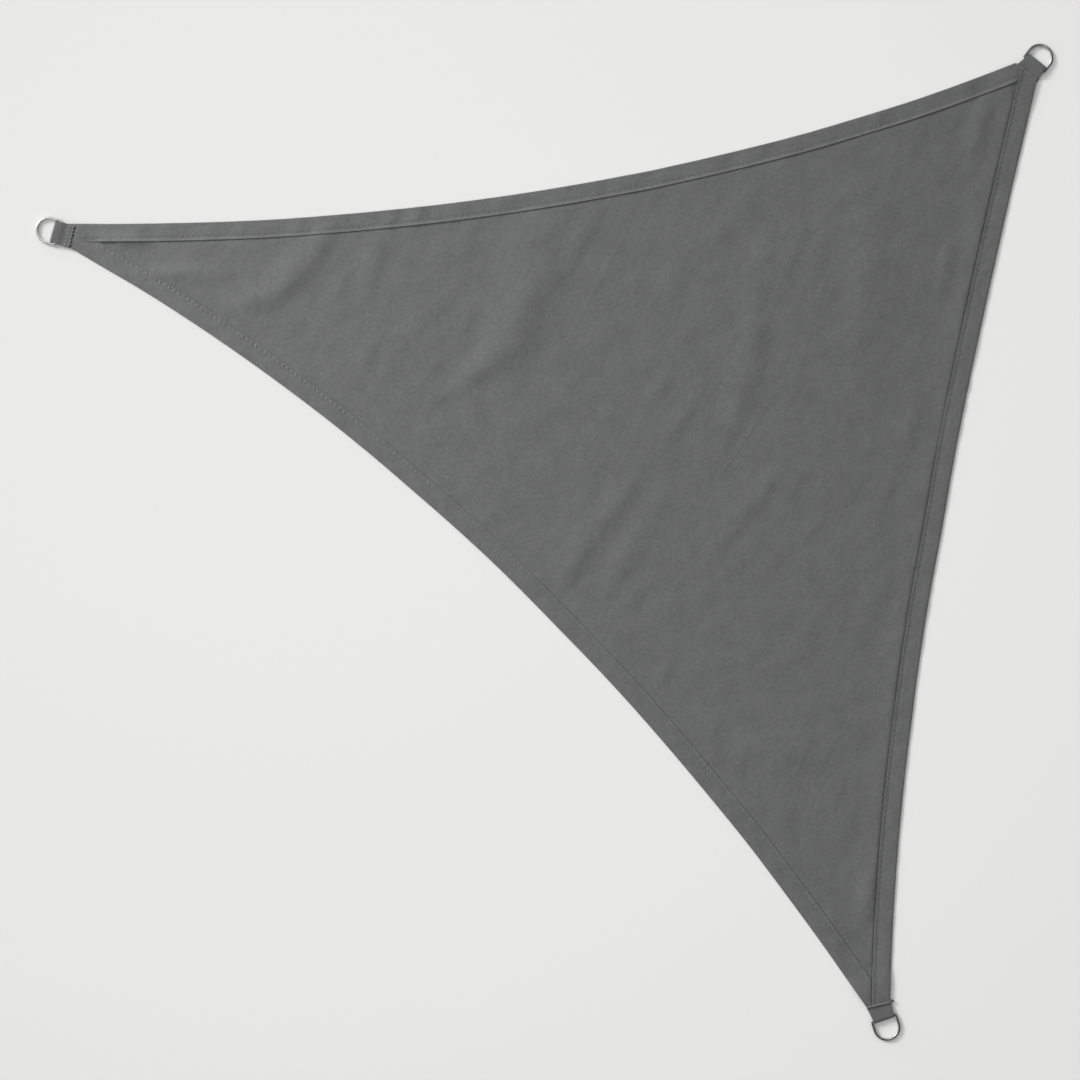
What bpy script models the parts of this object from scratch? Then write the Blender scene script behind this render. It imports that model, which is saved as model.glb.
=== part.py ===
"""A triangular shade sail that lies flat: a hemmed cloth with a tab and a steel D-ring at each corner.

Metres, +Z up. The cloth lies in the XY plane with its underside on the floor at z = 0, the left
corner at -X and the longest edge at the lower left. Every edge curves inward, and its hem is turned
in to the upper side.
"""

import math
from collections import namedtuple

import bmesh
import bpy
from mathutils import Matrix, Vector
from mathutils.geometry import delaunay_2d_cdt

# Cloth
CLOTH = 0.0012  # thickness of the single cloth
HEM_RISE = 0.0010  # what a turned-in hem adds to it
HEM_STEP = 0.0012  # width of the slope at a hem's inner edge
GAP = 0.0003  # between pieces that touch

# The three edges, from corner to corner, clockwise seen from above. The sag is how far the edge
# curves in from its straight chord, and the skew moves the deepest place towards the edge's end.
Edge = namedtuple("Edge", "start end sag skew hem")
EDGES = {
    "top": Edge((-0.9385, 0.6368), (0.9415, 0.9578), sag=0.0913, skew=0.065, hem=0.0358),
    "right": Edge((0.9846, 0.9245), (0.6916, -0.9175), sag=0.0486, skew=0.335, hem=0.0364),
    "lower": Edge((0.6435, -0.9285), (-0.9475, 0.5895), sag=0.1270, skew=0.085, hem=0.0395),
}

# Where an edge strays from its curve: the place along it and the width, both as shares of its
# length, and how far it goes inward there.
Stray = namedtuple("Stray", "edge at width depth")
STRAYS = [
    Stray("top", 0.20, 0.06, 0.0009),
    Stray("top", 0.60, 0.02, 0.0006),
    Stray("top", 0.77, 0.05, 0.0008),
    Stray("top", 0.89, 0.05, 0.0010),
    Stray("right", 0.05, 0.04, -0.0008),
    Stray("right", 0.49, 0.06, -0.0024),
    Stray("right", 0.70, 0.03, -0.0006),
    Stray("lower", 0.03, 0.03, -0.0005),
    Stray("lower", 0.18, 0.04, 0.0010),
    Stray("lower", 0.44, 0.05, -0.0015),
    Stray("lower", 0.62, 0.05, -0.0012),
    Stray("lower", 0.97, 0.03, -0.0016),
]

# Corner tabs: the middle of the folded end that holds the ring, and the way that end points. The
# length shown is from there to the seam. The slack is how far the ring's bar lies from the end of
# its loop. At_ring and at_seam are the strip's widths, and a bow over 1 widens it late.
Tab = namedtuple("Tab", "x y heading shown slack at_ring at_seam bow over_sail")
TABS = {
    "left": Tab(-0.9831, 0.6219, 164.2, 0.0404, 0.0072, 0.0424, 0.0460, bow=1.0, over_sail=True),
    "top": Tab(0.9860, 0.9639, 51.7, 0.0304, 0.0077, 0.0436, 0.0536, bow=1.8, over_sail=False),
    "bottom": Tab(0.6799, -0.9555, -71.3, 0.0320, 0.0, 0.0420, 0.0506, bow=1.3, over_sail=False),
}
TAB_CLOTH = 0.0012
TAB_UNDER_SAIL = 0.024  # how far a tab's sewn-in ends reach under the corner
TAB_FLAT = 0.0015  # flat piece of the upper ply behind the ring's bar
TAB_FALL = 0.014  # length over which it then comes down
NECK_LENGTH = 0.0217  # how far the left corner reaches into its tab
NECK_WIDTH = 0.038
CORNER_RAMP = 0.050  # length over which a raised corner comes down to the floor

# D-rings of round wire
WIRE = 0.0050
RING_WIDTH = 0.054  # outside
RING_DEPTH = 0.046  # from the middle of the bar to the outside of the arc
RING_CORNER = 0.0035  # bend of the wire between bar and leg
BAR_CLEARANCE = 0.0004

# Folds of the lying cloth: soft ridges, each given by places along its crest. Left and right say how
# wide its slope is on that side, seen along it.
Place = namedtuple("Place", "x y left right height")
RIDGES = {
    "left": [
        Place(-0.434, 0.612, 0.022, 0.030, 0.0022),
        Place(-0.476, 0.560, 0.024, 0.032, 0.0054),
        Place(-0.518, 0.516, 0.024, 0.030, 0.0060),
        Place(-0.564, 0.488, 0.022, 0.026, 0.0044),
        Place(-0.616, 0.464, 0.016, 0.018, 0.0012),
    ],
    "long middle": [
        Place(0.030, 0.664, 0.038, 0.050, 0.0022),
        Place(0.006, 0.604, 0.038, 0.058, 0.0038),
        Place(-0.014, 0.544, 0.042, 0.052, 0.0058),
        Place(-0.038, 0.484, 0.042, 0.052, 0.0072),
        Place(-0.052, 0.440, 0.042, 0.054, 0.0073),
        Place(-0.070, 0.400, 0.040, 0.048, 0.0072),
        Place(-0.098, 0.370, 0.032, 0.036, 0.0060),
        Place(-0.136, 0.340, 0.020, 0.024, 0.0038),
        Place(-0.178, 0.306, 0.014, 0.016, 0.0022),
        Place(-0.240, 0.276, 0.008, 0.010, 0.0007),
    ],
    "beside the long one": [
        Place(0.112, 0.674, 0.016, 0.026, 0.0012),
        Place(0.088, 0.628, 0.018, 0.028, 0.0030),
        Place(0.062, 0.584, 0.018, 0.024, 0.0026),
        Place(0.038, 0.540, 0.014, 0.018, 0.0008),
    ],
    "between left and middle": [
        Place(-0.318, 0.628, 0.016, 0.024, 0.0006),
        Place(-0.334, 0.580, 0.020, 0.028, 0.0022),
        Place(-0.346, 0.528, 0.020, 0.026, 0.0024),
        Place(-0.364, 0.484, 0.014, 0.018, 0.0008),
    ],
    "right of the middle": [
        Place(0.452, 0.614, 0.026, 0.024, 0.0008),
        Place(0.430, 0.554, 0.030, 0.026, 0.0024),
        Place(0.416, 0.488, 0.026, 0.024, 0.0022),
        Place(0.422, 0.434, 0.028, 0.038, 0.0030),
        Place(0.412, 0.380, 0.028, 0.042, 0.0036),
        Place(0.404, 0.328, 0.026, 0.040, 0.0034),
        Place(0.392, 0.280, 0.022, 0.030, 0.0024),
        Place(0.374, 0.228, 0.018, 0.022, 0.0018),
        Place(0.340, 0.160, 0.014, 0.016, 0.0006),
    ],
    "low, first": [
        Place(0.192, 0.144, 0.016, 0.024, 0.0008),
        Place(0.148, 0.080, 0.020, 0.030, 0.0028),
        Place(0.112, 0.032, 0.022, 0.030, 0.0034),
        Place(0.076, -0.012, 0.022, 0.028, 0.0038),
        Place(0.046, -0.068, 0.020, 0.024, 0.0030),
        Place(0.024, -0.112, 0.012, 0.016, 0.0008),
    ],
    "low, second": [
        Place(0.256, 0.114, 0.024, 0.020, 0.0006),
        Place(0.212, 0.060, 0.028, 0.024, 0.0018),
        Place(0.176, 0.004, 0.030, 0.024, 0.0024),
        Place(0.148, -0.052, 0.030, 0.024, 0.0028),
        Place(0.124, -0.104, 0.024, 0.018, 0.0014),
    ],
    "low, third": [
        Place(0.468, 0.144, 0.014, 0.018, 0.0008),
        Place(0.436, 0.100, 0.016, 0.022, 0.0024),
        Place(0.396, 0.052, 0.018, 0.024, 0.0022),
        Place(0.356, -0.006, 0.018, 0.024, 0.0018),
        Place(0.312, -0.072, 0.014, 0.018, 0.0006),
    ],
    "broad right": [
        Place(0.656, 0.694, 0.044, 0.040, 0.0012),
        Place(0.656, 0.624, 0.050, 0.044, 0.0034),
        Place(0.660, 0.560, 0.056, 0.050, 0.0046),
        Place(0.648, 0.494, 0.050, 0.046, 0.0042),
        Place(0.636, 0.428, 0.040, 0.040, 0.0030),
        Place(0.612, 0.354, 0.028, 0.030, 0.0008),
    ],
    "by the right hem": [
        Place(0.814, 0.620, 0.016, 0.014, 0.0008),
        Place(0.806, 0.580, 0.018, 0.014, 0.0028),
        Place(0.798, 0.536, 0.018, 0.014, 0.0026),
        Place(0.792, 0.484, 0.014, 0.012, 0.0008),
    ],
    "below it": [
        Place(0.740, 0.284, 0.014, 0.020, 0.0006),
        Place(0.732, 0.234, 0.014, 0.022, 0.0020),
        Place(0.718, 0.180, 0.012, 0.018, 0.0006),
    ],
    "top corner": [
        Place(0.884, 0.888, 0.014, 0.016, 0.0014),
        Place(0.876, 0.848, 0.018, 0.020, 0.0040),
        Place(0.866, 0.804, 0.018, 0.022, 0.0036),
        Place(0.854, 0.754, 0.014, 0.018, 0.0008),
    ],
    "mound above the bottom corner": [
        Place(0.368, -0.400, 0.024, 0.016, 0.0008),
        Place(0.416, -0.404, 0.034, 0.028, 0.0030),
        Place(0.476, -0.416, 0.036, 0.032, 0.0036),
        Place(0.536, -0.432, 0.034, 0.028, 0.0026),
        Place(0.588, -0.448, 0.022, 0.018, 0.0006),
    ],
    "bottom corner": [
        Place(0.652, -0.652, 0.012, 0.014, 0.0006),
        Place(0.648, -0.696, 0.014, 0.018, 0.0030),
        Place(0.644, -0.732, 0.014, 0.018, 0.0026),
        Place(0.640, -0.776, 0.010, 0.014, 0.0006),
    ],
    "left corner": [
        Place(-0.788, 0.548, 0.010, 0.016, 0.0008),
        Place(-0.748, 0.544, 0.012, 0.022, 0.0030),
        Place(-0.688, 0.544, 0.012, 0.024, 0.0028),
        Place(-0.628, 0.542, 0.010, 0.020, 0.0014),
        Place(-0.578, 0.540, 0.008, 0.014, 0.0004),
    ],
    "under the top hem": [
        Place(-0.900, 0.610, 0.012, 0.010, 0.0010),
        Place(-0.862, 0.604, 0.014, 0.014, 0.0042),
        Place(-0.824, 0.602, 0.014, 0.014, 0.0036),
        Place(-0.780, 0.600, 0.012, 0.010, 0.0006),
    ],
}
RIDGE_FOOT = 0.0004  # taken off each fold's faint outer slope, so the rest lies flat
RIDGE_STEPS = 4  # along a crest from one of its places to the next

# Spacing of the mesh's points
ALONG_EDGE = 0.040
ALONG_EDGE_NEAR_CORNER = 0.010
NEAR_CORNER = 0.110
ALONG_RIDGE = 0.030
ACROSS_RIDGE = (-1.9, -0.95, 0.0, 0.95, 1.9)  # in widths from a ridge's crest
BEHIND_TAB = 0.011
BESIDE_TAB_MIDDLE = 4  # points to each side
ACROSS_FOLDS = 0.032
ALONG_FOLDS = 0.046
FOLD_HEADING = 237.0  # the way most folds run, in degrees
CLEAR_OF_LINES = 0.009
CLEAR_OF_RIDGES = 0.017
SAME_POINT = 1e-7
REACH = 1.5  # of the rows, from the origin

# Straight pieces that stand for a curve
PLY_STEPS = 4
LOOP_STEPS = 12
FALL_STEPS = 10
BEND_STEPS = 4
ARC_STEPS = 24
WIRE_ROUNDNESS = 3
SHARP_ANGLE = 40.0  # edges sharper than this stay edges

CLOTH_GREY = (0.155, 0.160, 0.158, 1.0)
TAB_GREY = (0.135, 0.140, 0.138, 1.0)
STEEL = (0.72, 0.72, 0.70, 1.0)


# ---------------------------------------------------------------- edges of the cloth


def edge_frame(edge):
    """The chord's length, its direction, and the direction into the cloth."""
    start, end = Vector(edge.start), Vector(edge.end)
    chord = end - start
    along = chord.normalized()
    return chord.length, along, Vector((along.y, -along.x))


def sag_at(edge, t):
    """How far inside its chord the edge lies."""
    sag = edge.sag * 4.0 * t * (1.0 - t) * (1.0 + edge.skew * (2.0 * t - 1.0))
    for stray in STRAYS:
        if EDGES[stray.edge] == edge:
            sag += stray.depth * math.exp(-(((t - stray.at) / stray.width) ** 2))
    return sag


def tilt_at(edge, t):
    """Cosine of the angle between the curved edge and its chord."""
    length = edge_frame(edge)[0]
    dt = 1e-4
    slope = (sag_at(edge, t + dt) - sag_at(edge, t - dt)) / (2.0 * dt * length)
    return 1.0 / math.hypot(1.0, slope)


def edge_point(edge, t, inset=0.0):
    """A point on the edge, or this far inside it."""
    length, along, inward = edge_frame(edge)
    depth = sag_at(edge, t) + inset / tilt_at(edge, t)
    return Vector(edge.start) + along * length * t + inward * depth


def inside_by(edge, point):
    """How far inside the edge a point lies."""
    length, along, inward = edge_frame(edge)
    offset = point - Vector(edge.start)
    t = offset.dot(along) / length
    return (offset.dot(inward) - sag_at(edge, t)) * tilt_at(edge, t)


def edge_stations(edge):
    """Values of t from 0 to 1, close together near the corners."""
    length = edge_frame(edge)[0]
    close = round(NEAR_CORNER / ALONG_EDGE_NEAR_CORNER)
    near = [i * ALONG_EDGE_NEAR_CORNER / length for i in range(close)]
    wide = round((length - 2.0 * NEAR_CORNER) / ALONG_EDGE)
    first = NEAR_CORNER / length
    middle = [first + (1.0 - 2.0 * first) * i / wide for i in range(wide + 1)]
    return near + middle + [1.0 - t for t in reversed(near)]


# ---------------------------------------------------------------- tabs' own coordinates


def tab_axes(tab):
    """The direction from the tab's ring end into the sail, and the one across it."""
    heading = math.radians(tab.heading)
    inward = Vector((-math.cos(heading), -math.sin(heading)))
    return inward, Vector((-inward.y, inward.x))


def tab_point(tab, inward_by, across):
    inward, side = tab_axes(tab)
    return Vector((tab.x, tab.y)) + inward * inward_by + side * across


def from_ring_end(tab, point):
    """How far a point lies from the tab's ring end, measured along the tab."""
    return (point - Vector((tab.x, tab.y))).dot(tab_axes(tab)[0])


def tab_end(tab):
    """Where the tab's two plies end, from its ring end."""
    return tab.shown if tab.over_sail else tab.shown + TAB_UNDER_SAIL


def plies_under_sail(tab):
    return 1 if tab.over_sail else 2


# ---------------------------------------------------------------- height of the cloth


def smooth(t):
    t = min(max(t, 0.0), 1.0)
    return t * t * (3.0 - 2.0 * t)


def eased(values, share):
    """A value between the second and third of four, on a smooth curve through them."""
    before, first, last, after = values
    bend = (2.0 * before - 5.0 * first + 4.0 * last - after) * share**2
    turn = (3.0 * first - before - 3.0 * last + after) * share**3
    return first + 0.5 * ((last - before) * share + bend + turn)


def crest_of(ridge, steps):
    """The ridge's places with others between them on a smooth curve."""
    ends = [ridge[0]] + ridge + [ridge[-1]]
    crest = []
    for i in range(len(ridge) - 1):
        near = ends[i : i + 4]
        for step in range(steps):
            crest.append(Place(*(eased(values, step / steps) for values in zip(*near))))
    return crest + [ridge[-1]]


def blend(first, last, share):
    return first + (last - first) * share


def ridge_height(crest, point):
    """A soft ridge, as high and as wide as the nearest place on its crest says."""
    best = None
    for first, last in zip(crest, crest[1:]):
        start, along = Vector((first.x, first.y)), Vector((last.x - first.x, last.y - first.y))
        share = min(max((point - start).dot(along) / along.length_squared, 0.0), 1.0)
        away = point - start - along * share
        if best is None or away.length < best[0]:
            best = (away.length, along.cross(away), first, last, share)
    distance, side, first, last, share = best
    width = blend(first.left, last.left, share) if side > 0.0 else blend(first.right, last.right, share)
    return blend(first.height, last.height, share) * math.exp(-((distance / width) ** 2))


CRESTS = [crest_of(ridge, RIDGE_STEPS) for ridge in RIDGES.values()]


def corner_lift(tab, point):
    """The sail's corner lies on the tab's plies and comes down to the floor behind them."""
    lift = plies_under_sail(tab) * (TAB_CLOTH + GAP)
    behind = from_ring_end(tab, point) - tab_end(tab) - 2.0 * HEM_STEP
    return lift * (1.0 - smooth(behind / CORNER_RAMP))


def underside(point):
    folds = sum(ridge_height(crest, point) for crest in CRESTS)
    lift = max(corner_lift(tab, point) for tab in TABS.values())
    return max(folds - RIDGE_FOOT, 0.0) + lift


def thickness(point):
    total = CLOTH
    for edge in EDGES.values():
        past = inside_by(edge, point) - edge.hem
        total += HEM_RISE * min(max(1.0 - past / HEM_STEP, 0.0), 1.0)
    return total


# ---------------------------------------------------------------- the sail


def sail_outline():
    """The cloth's outline, counter-clockwise seen from above."""
    left = TABS["left"]
    neck = [
        tab_point(left, NECK_LENGTH, NECK_WIDTH / 2.0),
        tab_point(left, NECK_LENGTH, -NECK_WIDTH / 2.0),
    ]
    clockwise = []
    for edge in EDGES.values():
        clockwise += [edge_point(edge, t) for t in edge_stations(edge)]
    if (clockwise[-1] - neck[0]).length > (clockwise[-1] - neck[1]).length:
        neck.reverse()
    clockwise += neck
    return list(reversed(clockwise))


def inside_outline(point, outline):
    """Even-odd rule."""
    inside = False
    previous = outline[-1]
    for current in outline:
        if (current.y > point.y) != (previous.y > point.y):
            cut = (previous.x - current.x) * (point.y - current.y) / (previous.y - current.y)
            if point.x < current.x + cut:
                inside = not inside
        previous = current
    return inside


def hem_lines(outline):
    """The foot and the top of the step at each hem's inner edge, as runs of points."""
    runs = []
    for edge in EDGES.values():
        for inset in (edge.hem, edge.hem + HEM_STEP):
            run = [edge_point(edge, t, inset) for t in edge_stations(edge)]
            runs.append([p for p in run if inside_outline(p, outline)])
    return runs


def spread(candidates, others, clearance, outline):
    """The candidates that lie in the cloth and clear of the others and of each other."""
    kept = []
    for point in candidates:
        near = any((point - other).length < clearance for other in others + kept)
        if not near and inside_outline(point, outline):
            kept.append(point)
    return kept


def ridge_points():
    """Points on the crests and beside them, evenly spaced along them."""
    points = []
    for crest in CRESTS:
        since = ALONG_RIDGE
        for before, here in zip(crest, crest[1:]):
            along = Vector((here.x - before.x, here.y - before.y))
            since += along.length
            if since < ALONG_RIDGE:
                continue
            since = 0.0
            side = Vector((-along.y, along.x)).normalized()
            for aside in ACROSS_RIDGE:
                width = here.left if aside > 0.0 else here.right
                points.append(Vector((here.x, here.y)) + side * aside * width)
    return points


def points_behind_tabs():
    points = []
    rows = round(CORNER_RAMP / BEHIND_TAB) + 1
    for tab in TABS.values():
        for row in range(rows):
            inward_by = tab_end(tab) + 2.0 * HEM_STEP + row * BEHIND_TAB
            for place in range(-BESIDE_TAB_MIDDLE, BESIDE_TAB_MIDDLE + 1):
                points.append(tab_point(tab, inward_by, place * BEHIND_TAB))
    return points


def field_points():
    """Rows along the folds, every other one shifted by half a step."""
    heading = math.radians(FOLD_HEADING)
    along = Vector((math.cos(heading), math.sin(heading)))
    across = Vector((-along.y, along.x))
    columns, rows = round(REACH / ACROSS_FOLDS), round(REACH / ALONG_FOLDS)
    points = []
    for i in range(-columns, columns + 1):
        for j in range(-rows, rows + 1):
            shifted = (j + 0.5 * (i % 2)) * ALONG_FOLDS
            points.append(across * i * ACROSS_FOLDS + along * shifted)
    return points


def inner_points(outline, lines):
    fine = spread(points_behind_tabs() + ridge_points(), lines, CLEAR_OF_LINES, outline)
    return fine + spread(field_points(), lines + fine, CLEAR_OF_RIDGES, outline)


def make_sail():
    outline = sail_outline()
    points = list(outline)
    lines = [(i, (i + 1) % len(outline)) for i in range(len(outline))]
    for run in hem_lines(outline):
        first = len(points)
        points += run
        lines += [(first + i, first + i + 1) for i in range(len(run) - 1)]
    points += inner_points(outline, points)
    flat, _, triangles, *_ = delaunay_2d_cdt(points, lines, [], 0, SAME_POINT)
    inner = []
    for triangle in triangles:
        middle = sum((flat[i] for i in triangle), Vector((0.0, 0.0))) / 3.0
        if inside_outline(middle, outline):
            inner.append(triangle)
    bm = bmesh.new()
    low, high = {}, {}
    for i in sorted({i for triangle in inner for i in triangle}):
        base = underside(flat[i])
        low[i] = bm.verts.new((flat[i].x, flat[i].y, base))
        high[i] = bm.verts.new((flat[i].x, flat[i].y, base + thickness(flat[i])))
    sides = {}
    for a, b, c in inner:
        bm.faces.new((high[a], high[b], high[c]))
        bm.faces.new((low[c], low[b], low[a]))
        for pair in ((a, b), (b, c), (c, a)):
            sides[pair] = True
    for a, b in sides:
        if (b, a) not in sides:
            bm.faces.new((low[a], low[b], high[b], high[a]))
    return finished(bm, "sail", cloth_material("sail_cloth", CLOTH_GREY))


# ---------------------------------------------------------------- tabs and rings


def loop_radius():
    """Outer radius of the tab's loop round the ring's bar."""
    return WIRE / 2.0 + BAR_CLEARANCE + TAB_CLOTH


def tab_centreline(tab):
    """The folded strip seen from its side, as (distance from the ring end, height)."""
    half = TAB_CLOTH / 2.0
    radius = loop_radius()
    end = tab_end(tab)
    line = [(blend(end, radius, i / PLY_STEPS), half) for i in range(PLY_STEPS)]
    turn = radius - half
    for i in range(LOOP_STEPS + 1):
        angle = math.radians(-90.0 - 180.0 * i / LOOP_STEPS)
        line.append((radius + turn * math.cos(angle), radius + turn * math.sin(angle)))
    top = 2.0 * radius - half
    layers = CLOTH + 2.0 * HEM_RISE + GAP if tab.over_sail else 0.0
    rest = TAB_CLOTH + GAP + layers + half
    flat_to = radius + tab.slack + TAB_FLAT
    for i in range(FALL_STEPS + 1):
        share = i / FALL_STEPS
        line.append((flat_to + TAB_FALL * share, blend(top, rest, smooth(share))))
    line.append((end, rest))
    return line


def tab_half_width(inward_by, tab):
    share = min(inward_by / tab.shown, 1.0)
    return 0.5 * (tab.at_ring + (tab.at_seam - tab.at_ring) * share**tab.bow)


def make_tab(name, tab):
    """The strip's centreline thickened to both sides and given its width."""
    line = [Vector(p) for p in tab_centreline(tab)]
    bm = bmesh.new()
    rings = []
    for i, point in enumerate(line):
        ahead = line[min(i + 1, len(line) - 1)] - line[max(i - 1, 0)]
        normal = Vector((-ahead.y, ahead.x)).normalized() * TAB_CLOTH / 2.0
        ring = []
        for side in (-1.0, 1.0):
            for face in (point + normal * side, point - normal * side):
                across = side * tab_half_width(max(face.x, 0.0), tab)
                place = tab_point(tab, face.x, across)
                ring.append(bm.verts.new((place.x, place.y, face.y)))
        rings.append(ring)
    for ring, following in zip(rings, rings[1:]):
        for k in range(4):
            n = (k + 1) % 4
            bm.faces.new((ring[k], following[k], following[n], ring[n]))
    bm.faces.new(rings[0])
    bm.faces.new(list(reversed(rings[-1])))
    return finished(bm, "tab_" + name, cloth_material("tab_cloth_" + name, TAB_GREY))


def ring_path():
    """The wire's centreline: x away from the bar, y along the bar."""
    leg = (RING_WIDTH - WIRE) / 2.0
    arc_centre = RING_DEPTH - RING_WIDTH / 2.0
    path = []
    for i in range(BEND_STEPS + 1):
        angle = math.radians(90.0 * i / BEND_STEPS)
        x = RING_CORNER * (1.0 - math.cos(angle))
        y = leg - RING_CORNER * (1.0 - math.sin(angle))
        path.append((x, y))
    for i in range(ARC_STEPS + 1):
        angle = math.radians(90.0 - 180.0 * i / ARC_STEPS)
        path.append((arc_centre + leg * math.cos(angle), leg * math.sin(angle)))
    path += [(x, -y) for x, y in reversed(path[: BEND_STEPS + 1])]
    return path


def make_ring(name, tab):
    curve = bpy.data.curves.new("ring_" + name, "CURVE")
    curve.dimensions = "3D"
    curve.bevel_depth = WIRE / 2.0
    curve.bevel_resolution = WIRE_ROUNDNESS
    path = ring_path()
    spline = curve.splines.new("POLY")
    spline.points.add(len(path) - 1)
    for point, (x, y) in zip(spline.points, path):
        point.co = (x, y, 0.0, 1.0)
    spline.use_cyclic_u = True
    spline.use_smooth = True
    ring = bpy.data.objects.new("ring_" + name, curve)
    bpy.context.collection.objects.link(ring)
    ring.data.materials.append(steel_material("steel_" + name))
    bar = tab_point(tab, loop_radius() + tab.slack, 0.0)
    drop = loop_radius() - WIRE / 2.0
    dip = math.asin(drop / (RING_DEPTH - WIRE / 2.0))
    ring.matrix_world = (
        Matrix.Translation((bar.x, bar.y, loop_radius()))
        @ Matrix.Rotation(math.radians(tab.heading), 4, "Z")
        @ Matrix.Rotation(dip, 4, "Y")
    )
    return ring


# ---------------------------------------------------------------- materials and finishing


def principled(name, colour, roughness, metallic):
    material = bpy.data.materials.new(name)
    material.use_nodes = True
    shader = material.node_tree.nodes["Principled BSDF"]
    shader.inputs["Base Color"].default_value = colour
    shader.inputs["Roughness"].default_value = roughness
    shader.inputs["Metallic"].default_value = metallic
    return material


def cloth_material(name, colour):
    return principled(name, colour, 0.9, 0.0)


def steel_material(name):
    return principled(name, STEEL, 0.22, 1.0)


def finished(bm, name, material):
    bmesh.ops.recalc_face_normals(bm, faces=bm.faces)
    bmesh.ops.triangulate(bm, faces=[f for f in bm.faces if len(f.verts) > 3])
    mesh = bpy.data.meshes.new(name)
    bm.to_mesh(mesh)
    bm.free()
    mesh.shade_smooth()
    mesh.set_sharp_from_angle(angle=math.radians(SHARP_ANGLE))
    mesh.materials.append(material)
    obj = bpy.data.objects.new(name, mesh)
    bpy.context.collection.objects.link(obj)
    return obj


def centre_on_floor(objects):
    """Puts the middle of the whole sail's box over the origin, and its lowest point on the floor."""
    bpy.context.view_layer.update()
    graph = bpy.context.evaluated_depsgraph_get()
    corners = []
    for obj in objects:
        mesh = obj.evaluated_get(graph).to_mesh()
        corners += [obj.matrix_world @ v.co for v in mesh.vertices]
        obj.evaluated_get(graph).to_mesh_clear()
    low = Vector([min(c[i] for c in corners) for i in range(3)])
    high = Vector([max(c[i] for c in corners) for i in range(3)])
    shift = Vector((-(low.x + high.x) / 2.0, -(low.y + high.y) / 2.0, -low.z))
    for obj in objects:
        obj.matrix_world = Matrix.Translation(shift) @ obj.matrix_world


def main():
    for obj in list(bpy.data.objects):
        bpy.data.objects.remove(obj, do_unlink=True)
    objects = [make_sail()]
    for name, tab in TABS.items():
        objects.append(make_tab(name, tab))
        objects.append(make_ring(name, tab))
    centre_on_floor(objects)


main()
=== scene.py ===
"""The looks of a small triangular shade sail that lies on a pale studio floor, seen from straight above.

Metres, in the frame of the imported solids: +Z up, the left corner at -X, the longest edge at the lower
left. The sail is one thin sheet, folded over at its three edges into stitched hems. A folded strip of
the same cloth holds a welded steel D-ring at each corner.
"""

import math
from collections import namedtuple

import bpy
import numpy as np
from mathutils import Matrix, Vector, noise
from mathutils.bvhtree import BVHTree
from mathutils.geometry import delaunay_2d_cdt

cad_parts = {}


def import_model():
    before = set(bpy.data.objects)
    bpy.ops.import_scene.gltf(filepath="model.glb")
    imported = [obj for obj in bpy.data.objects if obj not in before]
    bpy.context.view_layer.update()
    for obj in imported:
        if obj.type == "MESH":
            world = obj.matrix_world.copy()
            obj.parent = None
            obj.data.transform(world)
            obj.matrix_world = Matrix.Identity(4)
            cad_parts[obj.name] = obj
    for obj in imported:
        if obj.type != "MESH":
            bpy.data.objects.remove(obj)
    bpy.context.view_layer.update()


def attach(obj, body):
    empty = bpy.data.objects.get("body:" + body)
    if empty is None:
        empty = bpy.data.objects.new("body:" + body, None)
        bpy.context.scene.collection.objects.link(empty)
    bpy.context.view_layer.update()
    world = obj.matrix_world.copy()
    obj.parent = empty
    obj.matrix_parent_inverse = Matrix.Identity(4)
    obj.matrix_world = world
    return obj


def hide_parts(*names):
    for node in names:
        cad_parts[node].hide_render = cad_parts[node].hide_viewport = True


# ------------------------ sizes that the solids have too

# The three edges, from corner to corner, clockwise seen from above. The sag is how far the edge
# curves in from its straight chord, and the skew moves the deepest place towards the edge's end.
# The stitches lie this far from the hem's inner edge, and the flare is how far that edge stands up.
# An edge's strays are where it leaves that curve: the place along it and the width, both as shares
# of its length, and how far it goes inward there.
Edge = namedtuple("Edge", "start end sag skew hem stitch flare strays")
EDGES = {
    "top": Edge(
        (-0.9385, 0.6368), (0.9415, 0.9578), 0.0913, 0.065, hem=0.0358, stitch=0.0084, flare=0.0012,
        strays=((0.20, 0.06, 0.0009), (0.60, 0.02, 0.0006), (0.77, 0.05, 0.0008), (0.89, 0.05, 0.0010)),
    ),
    "right": Edge(
        (0.9846, 0.9245), (0.6916, -0.9175), 0.0486, 0.335, hem=0.0364, stitch=0.0064, flare=0.0003,
        strays=((0.05, 0.04, -0.0008), (0.49, 0.06, -0.0024), (0.70, 0.03, -0.0006)),
    ),
    "lower": Edge(
        (0.6435, -0.9285), (-0.9475, 0.5895), 0.1270, 0.085, hem=0.0395, stitch=0.0065, flare=0.0004,
        strays=(
            (0.03, 0.03, -0.0005), (0.18, 0.04, 0.0010), (0.44, 0.05, -0.0015), (0.62, 0.05, -0.0012),
            (0.97, 0.03, -0.0016),
        ),
    ),
}
NEIGHBOURS = {"top": ("lower", "right"), "right": ("top", "lower"), "lower": ("right", "top")}
LIES_ON = {"top": ("lower",), "right": ("top", "lower"), "lower": ()}

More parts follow.
